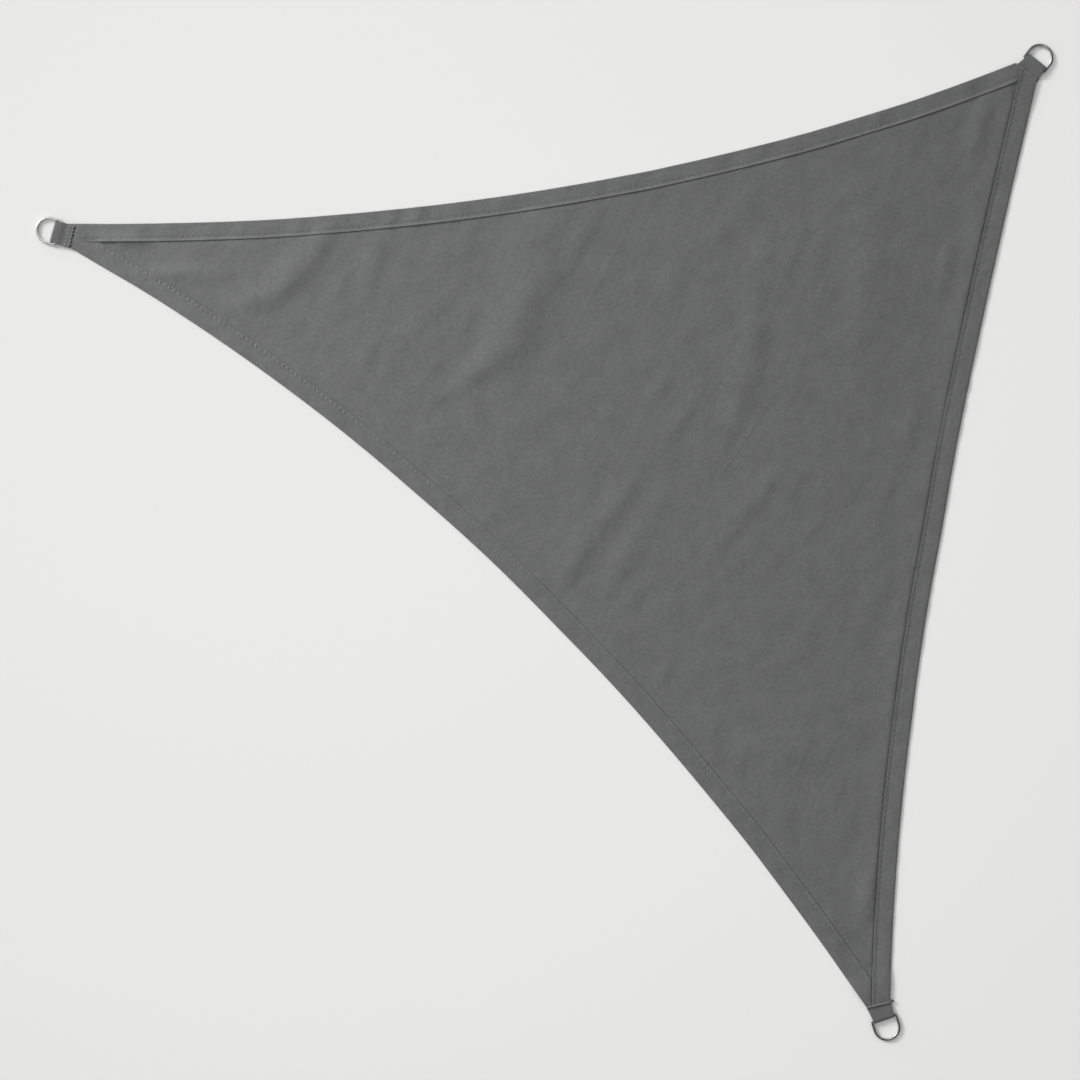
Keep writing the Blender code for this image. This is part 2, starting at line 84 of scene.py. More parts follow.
# Each corner's tab: the middle of its ring end, its heading out of the sail in degrees, the length
# that shows, how far the bar lies inside the loop's end, the width at the ring and at the seam, how
# its sides bow between the two, and whether its top ply ends on the sail or under it.
Tab = namedtuple("Tab", "x y heading shown slack at_ring at_seam bow over_sail")
TABS = {
    "left": Tab(-0.9831, 0.6219, 164.2, 0.0404, 0.0072, 0.0424, 0.0460, bow=1.0, over_sail=True),
    "top": Tab(0.9860, 0.9639, 51.7, 0.0304, 0.0077, 0.0436, 0.0536, bow=1.8, over_sail=False),
    "bottom": Tab(0.6799, -0.9555, -71.3, 0.0320, 0.0, 0.0420, 0.0506, bow=1.3, over_sail=False),
}
# The solids' cloth and its hems, which stand on the tabs' plies
SOLID_CLOTH = 0.0012
SOLID_HEM_RISE = 0.0010
SOLID_HEM_STEP = 0.0012
GAP = 0.0003
TAB_CLOTH = 0.0012
TAB_UNDER_SAIL = 0.024
TAB_FALL = 0.014
TAB_FLAT = 0.0015
NECK_LENGTH = 0.0217
NECK_WIDTH = 0.038
CORNER_RAMP = 0.050

WIRE = 0.0050
RING_WIDTH = 0.054
RING_DEPTH = 0.046
RING_CORNER = 0.0035
BAR_CLEARANCE = 0.0004

# Folds of the lying cloth: soft ridges, each given by places along its crest, in millimetres. A place
# is x, y, how wide the slope is on the left and on the right, seen along the crest, and its height.
MILLIMETRES = 1000.0  # in a metre
RIDGES = {
    "left": [
        (-434, 612, 22, 30, 2.2), (-476, 560, 24, 32, 5.4), (-518, 516, 24, 30, 6),
        (-564, 488, 22, 26, 4.4), (-616, 464, 16, 18, 1.2),
    ],
    "long middle": [
        (30, 664, 38, 50, 2.2), (6, 604, 38, 58, 3.8), (-14, 544, 42, 52, 5.8), (-38, 484, 42, 52, 7.2),
        (-52, 440, 42, 54, 7.3), (-70, 400, 40, 48, 7.2), (-98, 370, 32, 36, 6),
        (-136, 340, 20, 24, 3.8), (-178, 306, 14, 16, 2.2), (-240, 276, 8, 10, 0.7),
    ],
    "beside the long one": [
        (112, 674, 16, 26, 1.2), (88, 628, 18, 28, 3), (62, 584, 18, 24, 2.6), (38, 540, 14, 18, 0.8),
    ],
    "between left and middle": [
        (-318, 628, 16, 24, 0.6), (-334, 580, 20, 28, 2.2), (-346, 528, 20, 26, 2.4),
        (-364, 484, 14, 18, 0.8),
    ],
    "right of the middle": [
        (452, 614, 26, 24, 0.8), (430, 554, 30, 26, 2.4), (416, 488, 26, 24, 2.2), (422, 434, 28, 38, 3),
        (412, 380, 28, 42, 3.6), (404, 328, 26, 40, 3.4), (392, 280, 22, 30, 2.4),
        (374, 228, 18, 22, 1.8), (340, 160, 14, 16, 0.6),
    ],
    "low, first": [
        (192, 144, 16, 24, 0.8), (148, 80, 20, 30, 2.8), (112, 32, 22, 30, 3.4), (76, -12, 22, 28, 3.8),
        (46, -68, 20, 24, 3), (24, -112, 12, 16, 0.8),
    ],
    "low, second": [
        (256, 114, 24, 20, 0.6), (212, 60, 28, 24, 1.8), (176, 4, 30, 24, 2.4), (148, -52, 30, 24, 2.8),
        (124, -104, 24, 18, 1.4),
    ],
    "low, third": [
        (468, 144, 14, 18, 0.8), (436, 100, 16, 22, 2.4), (396, 52, 18, 24, 2.2), (356, -6, 18, 24, 1.8),
        (312, -72, 14, 18, 0.6),
    ],
    "broad right": [
        (656, 694, 44, 40, 1.2), (656, 624, 50, 44, 3.4), (660, 560, 56, 50, 4.6),
        (648, 494, 50, 46, 4.2), (636, 428, 40, 40, 3), (612, 354, 28, 30, 0.8),
    ],
    "by the right hem": [
        (814, 620, 16, 14, 0.8), (806, 580, 18, 14, 2.8), (798, 536, 18, 14, 2.6),
        (792, 484, 14, 12, 0.8),
    ],
    "below it": [
        (740, 284, 14, 20, 0.6), (732, 234, 14, 22, 2), (718, 180, 12, 18, 0.6),
    ],
    "top corner": [
        (884, 888, 14, 16, 1.4), (876, 848, 18, 20, 4), (866, 804, 18, 22, 3.6), (854, 754, 14, 18, 0.8),
    ],
    "mound above the bottom corner": [
        (368, -400, 24, 16, 0.8), (416, -404, 34, 28, 3), (476, -416, 36, 32, 3.6),
        (536, -432, 34, 28, 2.6), (588, -448, 22, 18, 0.6),
    ],
    "bottom corner": [
        (652, -652, 12, 14, 0.6), (648, -696, 14, 18, 3), (644, -732, 14, 18, 2.6),
        (640, -776, 10, 14, 0.6),
    ],
    "left corner": [
        (-788, 548, 10, 16, 0.8), (-748, 544, 12, 22, 3), (-688, 544, 12, 24, 2.8),
        (-628, 542, 10, 20, 1.4), (-578, 540, 8, 14, 0.4),
    ],
    "under the top hem": [
        (-900, 610, 12, 10, 1), (-862, 604, 14, 14, 4.2), (-824, 602, 14, 14, 3.6),
        (-780, 600, 12, 10, 0.6),
    ],
}
RIDGE_FOOT = 0.0004
RIDGE_STEPS = 4  # along a crest from one of its places to the next
FOLD_HEADING = 237.0  # the way most folds and the warp run, in degrees

# ------------------------ sizes that only the looks have

CLOTH = 0.0005  # the real thickness of the single cloth

# Folds too low and small for the solids
SMALL_FOLDS = [
    [(-560, 512, 18, 22, 0.6), (-604, 484, 20, 24, 2), (-640, 462, 14, 18, 0.5)],
    [(-872, 602, 12, 12, 0.4), (-838, 600, 12, 13, 1.2), (-796, 598, 10, 11, 0.4)],
    [(-790, 546, 8, 20, 0.5), (-734, 541, 10, 30, 2.4), (-664, 536, 8, 20, 0.5)],
    [(-392, 552, 10, 12, 0.4), (-406, 516, 10, 14, 1.4), (-420, 484, 8, 10, 0.4)],
    [(-340, 412, 10, 14, 0.4), (-352, 374, 12, 18, 1.4), (-366, 336, 8, 12, 0.4)],
    [(-144, 620, 12, 14, 0.4), (-156, 580, 14, 16, 1.2), (-170, 536, 10, 12, 0.4)],
    [(-198, 374, 8, 12, 0.4), (-224, 340, 10, 14, 1.2), (-252, 312, 8, 10, 0.4)],
    [(382, 654, 14, 20, 0.4), (342, 608, 16, 22, 1.3), (312, 560, 12, 16, 0.4)],
    [(528, 634, 8, 14, 0.4), (502, 588, 10, 16, 1.4), (484, 534, 8, 12, 0.4)],
    [(256, 340, 10, 14, 0.4), (226, 296, 12, 16, 1.4), (204, 252, 8, 12, 0.4)],
    [(312, 294, 8, 12, 0.4), (272, 240, 10, 14, 1.3), (232, 184, 8, 10, 0.4)],
    [(72, 348, 8, 10, 0.4), (60, 324, 10, 10, 1.3), (46, 300, 6, 8, 0.4)],
    [(704, 140, 10, 14, 0.4), (688, 104, 12, 16, 1.4), (672, 68, 8, 12, 0.4)],
    [(672, 54, 10, 12, 0.4), (650, 12, 10, 14, 1.5), (628, -20, 8, 10, 0.4)],
    [(698, -40, 16, 16, 0.4), (680, -80, 18, 18, 1.8), (656, -116, 12, 14, 0.4)],
    [(192, -96, 12, 14, 0.4), (168, -124, 16, 14, 1.6), (142, -152, 10, 10, 0.4)],
    [(264, -226, 10, 12, 0.4), (240, -260, 12, 16, 1.5), (222, -292, 8, 10, 0.4)],
    [(396, -36, 10, 14, 0.4), (336, -86, 12, 16, 1.3), (300, -146, 10, 12, 0.4)],
    [(400, -386, 12, 14, 0.4), (396, -426, 14, 16, 1.6), (388, -472, 12, 14, 0.4)],
    [(442, -180, 14, 16, 0.4), (412, -220, 16, 18, 1.4), (388, -260, 10, 12, 0.4)],
    [(582, -726, 12, 12, 0.4), (576, -766, 18, 14, 1.6), (592, -806, 12, 10, 0.4)],
]

# Fine creases that the cloth keeps from its packing
CREASES = [
    [(471.5, 314.5, 2.8, 2.8, 0.3), (413.5, 223.5, 2.8, 2.8, 0.55), (351.5, 134.5, 2.8, 2.8, 0.3)],
    [(601.5, 700.5, 2.8, 2.8, 0.2), (544.5, 629.5, 2.8, 2.8, 0.4), (491.5, 554.5, 2.8, 2.8, 0.2)],
    [(155.5, 604.5, 2.8, 2.8, 0.2), (111.5, 523.5, 2.8, 2.8, 0.4), (71.5, 444.5, 2.8, 2.8, 0.2)],
    [(291.5, 334.5, 2.8, 2.8, 0.3), (256.5, 289.5, 2.8, 2.8, 0.4), (221.5, 244.5, 2.8, 2.8, 0.2)],
]
CREASE_POINTS = 0.007  # between points along a crease
ACROSS_CREASE = (-2.2, -1.0, 0.0, 1.0, 2.2)  # in widths
RIDGE_REACH = 3.0  # in widths: beyond this a fold is not felt

# The panel's points: their pitch, the length over which they are laid out, and how far they keep from
# the outline, from the creases and from the rows along the hems
PANEL_GRID = 0.0100
GRID_REACH = 1.6
CLEAR_OF_EDGE = 0.006
GRID_FROM_CREASE = 0.00495
PUFF_FROM_CREASE = 0.0027
CLEAR_OF_PUFF = 0.004

STITCH_PITCH = 0.011
Stitch = namedtuple("Stitch", "length slant thread")
STITCHES = {
    "top": Stitch(0.0060, 7.0, 0.0010),
    "right": Stitch(0.0060, 7.0, 0.0009),
    "lower": Stitch(0.0046, -48.0, 0.0014),
}
HOLE_DEPTH = 0.0008
HOLE_PAINTED_SHADE = {"top": 0.10, "right": 0.5, "lower": 0.2}  # painted shade in the stitch holes: how dark they look

# The hem's top cloth is uneven: sizes along and across it, height, and the layer of the noise
HEM_CRUMPLES = (
    (0.034, 0.016, 0.00065, 51.0),
    (0.014, 0.009, 0.00022, 57.0),
)

FOLD_SEPARATION = 0.0010  # between the panel and the hem's top layer at the folded edge
HEM_STACK = 0.0015  # what a hem adds under another hem that crosses it
ROLL = 0.00032  # radius of the turn at the hem's inner edge
END_BLEND = 0.080  # length over which a hem's mesh leans towards its corner's line
SEWN_DOWN = 0.064  # length of the top hem's end that is sewn down at the left corner
END_MARGIN = 0.0012  # that a hem's end keeps from the next edge

# Sewing at the corners. A thread is given by its thickness.
SEAM_PITCH = 0.0017
SEAM_THREAD = 0.0010
SEAM_OUT = {"top": 0.0003, "bottom": 0.0015}  # from the corner's edge
SEAM_REACH = 0.0016
TAB_STITCH_ROWS = ((0.0090, 48.0, 0.0), (0.0004, 52.0, 0.20))  # from the tab's end, slant, fall
TAB_STITCHES = 6
TAB_STITCH_PITCH = 0.0074
TAB_STITCH_LENGTH = 0.0066
TAB_THREAD = 0.0012
FRAY_THREADS = 52
CROSSING = ((-0.9340, 0.6205), (-0.9020, 0.6072))  # the lower hem's stitches over the top hem's end
CROSSING_STITCHES = 5
CROSSING_THREAD = 0.0010

# Waves along each edge that its stitching draws up: their pitch, height, lean, and how far they
# reach into the panel.
Pucker = namedtuple("Pucker", "pitch height lean reach")
PUCKERS = {
    "top": Pucker(0.085, 0.00080, 0.6, 0.018),
    "right": Pucker(0.060, 0.00045, 0.4, 0.016),
    "lower": Pucker(0.046, 0.00030, 0.9, 0.020),
}

# Beyond a hem's inner edge the panel puffs up from its stitches: height, rise and fade of the puff.
Puff = namedtuple("Puff", "height rise fade")
PUFFS = {
    "top": Puff(0.0004, 0.0040, 0.020),
    "right": Puff(0.0020, 0.0034, 0.030),
    "lower": Puff(0.0005, 0.0030, 0.020),
}
PUFF_FROM_CORNER = 0.025
PUFF_ROWS = (-0.0015, 0.0006, 0.0020, 0.0036, 0.0070, 0.0125)  # of points, from the inner edge
ALONG_PUFF = 0.0075

# The outer edge of the right hem stands off the floor: how high, and how far in that reaches.
EDGE_LIFT = 0.0011
EDGE_LIFT_REACH = 0.030

# Painted shade in the groove along the right hem: the cloth is darker up to twice this far from
# the hem, and darkest next to the bottom corner.
GROOVE = 0.0018
GROOVE_PAINTED_SHADE = 0.30
CORNER_GROOVE_PAINTED_SHADE = 0.30

# Unevenness of the lying cloth: noise stretched along the folds, told as that of the hems
SWELLS = (
    (0.200, 0.100, 0.00115, 3.0),
    (0.080, 0.050, 0.00070, 11.0),
    (0.034, 0.024, 0.00022, 23.0),
)
SWELL_BASE = 0.0006

# The camera looks straight down. The photograph's middle lies over this point of the floor.
CAMERA_X = -0.0085
CAMERA_Y = 0.0045
CAMERA_HEIGHT = 8.0
FRAME_WIDTH = 2.160
SENSOR = 36.0

KEY_AZIMUTH = 143.0  # the side that the light comes from, in degrees
SKY_TILT = 0.95  # how much brighter the sky is on that side

FLOOR_HEIGHT = -0.0004
FLOOR_SIZE = 40.0
FLOOR_WHITE = (0.80, 0.80, 0.795, 1.0)
FLOOR_MIDDLE = 1.009
FLOOR_PAINTED_FALLOFF = 0.0205  # painted falloff of light: how much darker the floor is one metre out

CLOTH_GREY = (0.1325, 0.1350, 0.1335, 1.0)
# the sail's own cloth, in a lighter or darker copy at each corner as painted light
TAB_GREYS_WITH_PAINTED_LIGHT = {
    "left": (0.136, 0.139, 0.137, 1.0),
    "top": (0.108, 0.110, 0.109, 1.0),
    "bottom": (0.096, 0.098, 0.097, 1.0),
}
# painted shadow: the frayed threads at the left tab's end are this dark to stand in for the shadow there
FRAY_PAINTED_SHADOW_GREY = (0.030, 0.031, 0.030, 1.0)
# the same thread along each hem, in lighter and darker copies as painted light
THREAD_GREYS_WITH_PAINTED_LIGHT = {
    "top": (0.170, 0.174, 0.172, 1.0),
    "right": (0.140, 0.143, 0.142, 1.0),
    "lower": (0.350, 0.354, 0.352, 1.0),
}
# the same seam thread at both corners, in a lighter and a darker copy as painted light
SEAM_GREYS_WITH_PAINTED_LIGHT = {"top": (0.23, 0.23, 0.23, 1.0), "bottom": (0.31, 0.31, 0.31, 1.0)}
PAINTED_LIGHT_ALONG_X = -0.20  # painted falloff of light: the change of the sail's tone, for each metre along x
STEEL = (0.88, 0.88, 0.87, 1.0)


# ------------------------ edges of the cloth


def chord(edge):
    """The chord's start, its direction, the direction into the cloth, and its length."""
    start, end = np.array(edge.start), np.array(edge.end)
    length = np.linalg.norm(end - start)
    along = (end - start) / length
    return start, along, np.array((along[1], -along[0])), length


def sag_at(edge, t):
    """How far inside its chord the edge lies."""
    sag = edge.sag * 4.0 * t * (1.0 - t) * (1.0 + edge.skew * (2.0 * t - 1.0))
    for at, width, depth in edge.strays:
        sag = sag + depth * np.exp(-(((t - at) / width) ** 2))
    return sag


def slope_at(edge, t):
    dt = 1e-4
    return (sag_at(edge, t + dt) - sag_at(edge, t - dt)) / (2.0 * dt * chord(edge)[3])


def edge_point(edge, t, inset):
    """Points this far inside the edge."""
    start, along, inward, length = chord(edge)
    depth = sag_at(edge, t) + inset * np.hypot(1.0, slope_at(edge, t))
    return start + (t * length)[..., None] * along + depth[..., None] * inward


def along_edge(edge, points):
    start, along, _, length = chord(edge)
    return ((points - start) @ along) / length


def inside_by(edge, points):
    """How far inside the edge the points lie."""
    start, _, inward, _ = chord(edge)
    t = along_edge(edge, points)
    return ((points - start) @ inward - sag_at(edge, t)) / np.hypot(1.0, slope_at(edge, t))


def smooth(t):
    """0 up to t = 0 and 1 from t = 1 on, with a soft rise between."""
    t = np.clip(t, 0.0, 1.0)
    return t * t * (3.0 - 2.0 * t)


def unit(vectors):
    """The vector, or each row of vectors, at length 1."""
    return vectors / np.linalg.norm(vectors, axis=-1, keepdims=True)


# ------------------------ corners and tabs


def tab_axes(tab):
    """The direction from the tab's ring end into the sail, and the one across it."""
    heading = math.radians(tab.heading)
    inward = np.array((-math.cos(heading), -math.sin(heading)))
    return inward, np.array((-inward[1], inward[0]))


def tab_point(tab, inward_by, across):
    inward, side = tab_axes(tab)
    return np.array((tab.x, tab.y)) + inward * inward_by + side * across


def from_ring_end(tab, points):
    return (points - np.array((tab.x, tab.y))) @ tab_axes(tab)[0]


def tab_end(tab):
    return tab.shown if tab.over_sail else tab.shown + TAB_UNDER_SAIL


def corner_line(corner):
    """The line where the sail ends at a corner, clockwise."""
    if corner == "left":
        ends = [tab_point(TABS["left"], NECK_LENGTH, side * NECK_WIDTH / 2.0) for side in (1.0, -1.0)]
        return sorted(ends, key=lambda p: p[1])
    if corner == "top":
        return [np.array(EDGES["top"].end), np.array(EDGES["right"].start)]
    return [np.array(EDGES["right"].end), np.array(EDGES["lower"].start)]


def corner_depth(corner, points):
    """How far inside a corner's line the points lie."""
    first, second = corner_line(corner)
    along = unit(second - first)
    return (points - first) @ np.array((along[1], -along[0]))


CORNERS_OF = {"top": ("left", "top"), "right": ("top", "bottom"), "lower": ("bottom", "left")}


# ------------------------ height of the cloth


def eased(values, share):
    """A value between the second and third of four, on a smooth curve through them."""
    before, first, last, after = values
    bend = (2.0 * before - 5.0 * first + 4.0 * last - after) * share**2
    turn = (3.0 * first - before - 3.0 * last + after) * share**3
    return first + 0.5 * ((last - before) * share + bend + turn)


def crest_of(places):
    """The crest in metres, with places between the given ones on a smooth curve, one row each."""
    ridge = [[value / MILLIMETRES for value in place] for place in places]
    ends = [ridge[0]] + ridge + [ridge[-1]]
    crest = []
    for i in range(len(ridge) - 1):
        near = ends[i : i + 4]
        for step in range(RIDGE_STEPS):
            crest.append([eased(values, step / RIDGE_STEPS) for values in zip(*near)])
    return np.array(crest + [ridge[-1]])


def ridge_heights(crest, points):
    """A soft ridge, as high and as wide as the nearest place on its crest says."""
    reach = RIDGE_REACH * crest[:, 2:4].max()
    low, high = crest[:, :2].min(axis=0) - reach, crest[:, :2].max(axis=0) + reach
    near = np.all((points > low) & (points < high), axis=1)
    heights = np.zeros(len(points))
    if not near.any():
        return heights
    start, along = crest[:-1, :2], np.diff(crest[:, :2], axis=0)
    from_start = points[near][:, None, :] - start[None, :, :]
    share = np.clip((from_start * along).sum(axis=2) / (along**2).sum(axis=1), 0.0, 1.0)
    away = from_start - share[..., None] * along
    best = np.hypot(away[..., 0], away[..., 1]).argmin(axis=1)
    rows = np.arange(len(best))
    away, share, along = away[rows, best], share[rows, best][:, None], along[best]
    here = crest[best] + (crest[best + 1] - crest[best]) * share
    on_left = along[:, 0] * away[:, 1] - along[:, 1] * away[:, 0] > 0.0
    width = np.where(on_left, here[:, 2], here[:, 3])
    heights[near] = here[:, 4] * np.exp(-((away**2).sum(axis=1) / width**2))
    return heights


CRESTS = [crest_of(ridge) for ridge in RIDGES.values()]
SMALL_CRESTS = [crest_of(ridge) for ridge in SMALL_FOLDS + CREASES]

# Noise read along a line: how fast it goes by, for each metre or for each thing in a row, and the row
# and the layer of the noise that it is read from
Waver = namedtuple("Waver", "rate row layer")
PUCKER_DRIFT = Waver(1.0 / 0.11, 0.3, 5.0)
PUCKER_DRIFT_BY = 0.9  # of a wave
PUCKER_SWING = Waver(1.0 / 0.17, 7.7, 9.0)
PUCKER_SWING_BY = 0.9
PUCKER_LEVEL = 0.55
PUCKER_MOST = 1.4
PUCKER_FADES = 3.0  # in reaches: beyond this a wave is not felt
PUFF_WAVER = Waver(1.0 / 0.13, 2.6, 41.0)
PUFF_WAVER_BY = 0.9
PUFF_LIMITS = (0.2, 1.9)
LIFT_FROM_CORNER = 0.120
HEM_SWELL = 0.35  # the share of the swells that a hem keeps


def noise_at(coords, seed):
    return np.array([noise.noise(Vector((u, v, seed))) for u, v in coords])


def waver_at(waver, along):
    """Noise at these places along a line."""
    coords = np.column_stack((along * waver.rate, np.full(len(along), waver.row)))
    return noise_at(coords, waver.layer)


def fold_directions():
    """Unit vectors along the folds and across them."""
    heading = math.radians(FOLD_HEADING)
    along = np.array((math.cos(heading), math.sin(heading)))
    return along, np.array((-along[1], along[0]))


def layered_noise(layers, along, across):
    total = np.zeros(len(along))
    for size_along, size_across, height, layer in layers:
        coords = np.stack((along / size_along, across / size_across), axis=1)
        total += height * noise_at(coords, layer)
    return total


def swells(points):
    along, across = (points @ direction for direction in fold_directions())
    return np.maximum(SWELL_BASE + layered_noise(SWELLS, along, across), 0.0)


def run_along(edge, points):
    """Distance along the edge's chord."""
    return along_edge(edge, points) * chord(edge)[3]


def off_corners(name, points, ramp, least=0.0):
    """A share that grows from least to 1 over a ramp next to each of the edge's corners."""
    share = np.ones(len(points))
    for corner in CORNERS_OF[name]:
        share *= least + (1.0 - least) * smooth(corner_depth(corner, points) / ramp)
    return share


def pucker_heights(name, points):
    edge, pucker = EDGES[name], PUCKERS[name]
    inside = inside_by(edge, points)
    near = inside < edge.hem + PUCKER_FADES * pucker.reach
    along, inside = run_along(edge, points[near]), inside[near]
    drift = PUCKER_DRIFT_BY * waver_at(PUCKER_DRIFT, along)
    phase = 2.0 * math.pi * ((along + pucker.lean * inside) / pucker.pitch + drift)
    past = np.maximum(inside - (edge.hem - edge.stitch), 0.0) / pucker.reach
    share = (PUCKER_LEVEL + PUCKER_SWING_BY * waver_at(PUCKER_SWING, along)) * np.exp(-(past**2))
    heights = np.zeros(len(points))
    heights[near] = pucker.height * np.clip(share, 0.0, PUCKER_MOST) * (1.0 + np.sin(phase))
    return heights


def puff_heights(name, points):
    """The panel beside a hem's inner edge, which makes a narrow dark groove along it."""
    puff, edge = PUFFS[name], EDGES[name]
    past = inside_by(edge, points) - edge.hem
    uneven = 1.0 + PUFF_WAVER_BY * waver_at(PUFF_WAVER, run_along(edge, points))
    shape = smooth(past / puff.rise) * np.exp(-(np.maximum(past - puff.rise, 0.0) / puff.fade) ** 2)
    height = puff.height * np.clip(uneven, *PUFF_LIMITS) * shape
    return height * off_corners(name, points, PUFF_FROM_CORNER)


def corner_lift(tab, points):
    """The sail's corner lies on the tab's plies and comes down to the floor behind them."""
    plies = 1 if tab.over_sail else 2
    behind = from_ring_end(tab, points) - tab_end(tab) - 2.0 * SOLID_HEM_STEP
    return plies * (TAB_CLOTH + GAP) * (1.0 - smooth(behind / CORNER_RAMP))


def edge_lift(points):
    """The right hem's outer edge stands off the floor, less next to its corners."""
    lift = EDGE_LIFT * np.exp(-((inside_by(EDGES["right"], points) / EDGE_LIFT_REACH) ** 2))
    return lift * off_corners("right", points, LIFT_FROM_CORNER)


def underside(points):
    """Height of the cloth's underside above the floor."""
    folds = sum(ridge_heights(crest, points) for crest in CRESTS)
    small = sum(ridge_heights(crest, points) for crest in SMALL_CRESTS)
    lift = np.max([corner_lift(tab, points) for tab in TABS.values()], axis=0)
    raised = np.maximum(folds - RIDGE_FOOT, 0.0) + small + lift
    free = np.ones(len(points))
    for edge in EDGES.values():
        past = (inside_by(edge, points) - edge.hem / 2.0) / edge.hem
        free *= HEM_SWELL + (1.0 - HEM_SWELL) * smooth(past)
    waves = sum(pucker_heights(name, points) + puff_heights(name, points) for name in EDGES)
    return raised + swells(points) * free + waves + edge_lift(points)


# ------------------------ the sail's sheet

# The rows of a hem past its folded edge. A row's place is measured from the outline, from the
# stitches (positive towards the hem's inner edge) or from the inner edge. Its lift is above the
# panel's own cloth; flare and hole say how much of those it takes.
Row = namedtuple("Row", "measured place lift flare hole")
CROWN_ROWS = (0.0026, 0.0055, 0.0095, 0.0140, 0.0185, 0.0230)
HEM_ROWS = [
    Row("stitch", -0.0032, 0.00112, 0.0, 0.0),
    Row("stitch", -0.0015, 0.00108, 0.0, 0.30),
    Row("stitch", 0.0, 0.00100, 0.0, 1.0),
    Row("stitch", 0.0013, 0.00108, 0.0, 0.30),
    Row("inner", 0.0044, 0.00112, 0.06, 0.0),
    Row("inner", 0.0032, 0.00118, 0.30, 0.0),
    Row("inner", 0.0020, 0.00126, 0.72, 0.0),
    Row("inner", 0.0011, 0.00130, 0.95, 0.0),
    Row("inner", CLOTH / 2.0 + ROLL, 0.00130, 1.0, 0.0),
    Row("inner", CLOTH / 2.0, 0.00130 - ROLL, 1.0, 0.0),
    Row("inner", CLOTH / 2.0 + ROLL, 0.00130 - 2.0 * ROLL, 1.0, 0.0),
    Row("inner", 0.0020, 0.00062, 0.72, 0.0),
    Row("inner", 0.0036, 0.00054, 0.10, 0.0),
    Row("stitch", 0.0012, 0.00052, 0.0, 0.5),
    Row("stitch", -0.0026, 0.00050, 0.0, 0.2),
]
TOP_LAYER = 0.0008  # rows that lie higher belong to the hem's top cloth
FOLD_ANGLES = (-90.0, -135.0, 180.0, 135.0, 90.0)  # the folded edge, from the panel to the hem's top
STITCH_ROW = len(FOLD_ANGLES) + len(CROWN_ROWS) + [row.hole for row in HEM_ROWS].index(1.0)

# Between its folded edge and its stitches a hem is slightly crowned: how high, and how far in of
# that width its highest place is.
Crown = namedtuple("Crown", "height peak")
CROWNS = {
    "top": Crown(0.0002, 0.50),
    "right": Crown(0.0006, 0.12),
    "lower": Crown(0.0009, 0.40),
}


def crown_lift(name, place):
    crown, edge = CROWNS[name], EDGES[name]
    share = place / (edge.hem - edge.stitch)
    away = (crown.peak - share) / (crown.peak if share < crown.peak else 1.0 - crown.peak)
    return FOLD_SEPARATION + crown.height * (1.0 - away**2)


def hem_rows(name):
    crowned = [Row("edge", place, crown_lift(name, place), 0.0, 0.0) for place in CROWN_ROWS]
    return crowned + HEM_ROWS


def row_inset(row, edge):
    if row.measured == "edge":
        return row.place
    if row.measured == "stitch":
        return edge.hem - edge.stitch + row.place
    return edge.hem - row.place


# At each end of an edge: parameters that are surely outside the sail and surely inside it
END_SEARCH = ((-0.06, 0.15), (1.06, 0.85))
SEARCH_STEPS = 40
EDGE_SAMPLES = 2001
STACK_RAMP = 0.006  # over which a hem climbs on another
FLARE_WAVER = Waver(1.0 / 0.09, 4.4, 17.0)
FLARE_WAVER_BY = 0.55
# The lower hem's flare is low past one place along it; the top hem's is highest at one place
LOWER_FLARE_LEFT = 0.15
LOWER_FLARE_ENDS = 0.60
LOWER_FLARE_FADE = 0.25
TOP_FLARE_MORE = 0.9
TOP_FLARE_AT = 0.105
TOP_FLARE_WIDTH = 0.035
COVER_RAMP = 0.010  # over which the flare goes down next to a hem that lies on it
CORNER_FLARE = 0.15
FLARE_FROM_CORNER = 0.050
PRESSED = 0.50
PRESS_REACH = 0.012
CRUMPLE_SPREAD = 1.25
SEWN_LEFT = 0.12  # of the inner edge's height, where the hem's end is sewn down
SEWN_RAMP = 0.006
CORNER_GROOVE_FROM = 0.88  # where the painted shade in the groove starts to get darker, as a share of the right edge
CORNER_GROOVE_RAMP = 0.06
HOLE_RIM_PAINTED_SHADE = 0.25  # painted shade on the cloth next to a hole, as a share of that in the hole
INSIDE_ONLY = 1  # the triangulation keeps to the outline
SAME_POINT = 1e-7
SHEET_SHARP = 62.0  # edges at a greater angle than this are shown sharp
TUBE_SHARP = 70.0


def end_parameters(name, insets):
    """Where the lines at these insets meet the two corners, as parameters along the edge."""
    edge = EDGES[name]
    ends = []
    for (out, into), corner, neighbour in zip(END_SEARCH, CORNERS_OF[name], NEIGHBOURS[name]):
        outside, inside = np.full(len(insets), out), np.full(len(insets), into)
        for _ in range(SEARCH_STEPS):
            middle = (outside + inside) / 2.0
            points = edge_point(edge, middle, insets)
            beside = inside_by(EDGES[neighbour], points) - END_MARGIN
            good = np.minimum(corner_depth(corner, points), beside) > 0.0
            inside = np.where(good, middle, inside)
            outside = np.where(good, outside, middle)
        ends.append(inside)
    return ends


def run_of(path):
    """The distance along a path to each of its points."""
    return np.concatenate(([0.0], np.cumsum(np.linalg.norm(np.diff(path, axis=0), axis=1))))


def hem_stations(name):
    """Evenly spaced parameters along the outline, two for each stitch."""
    first, last = (end[0] for end in end_parameters(name, np.zeros(1)))
    fine = np.linspace(first, last, EDGE_SAMPLES)
    run = run_of(edge_point(EDGES[name], fine, np.zeros(len(fine))))
    count = 2 * round(run[-1] / STITCH_PITCH)
    return np.interp(np.linspace(0.0, run[-1], count + 1), run, fine)


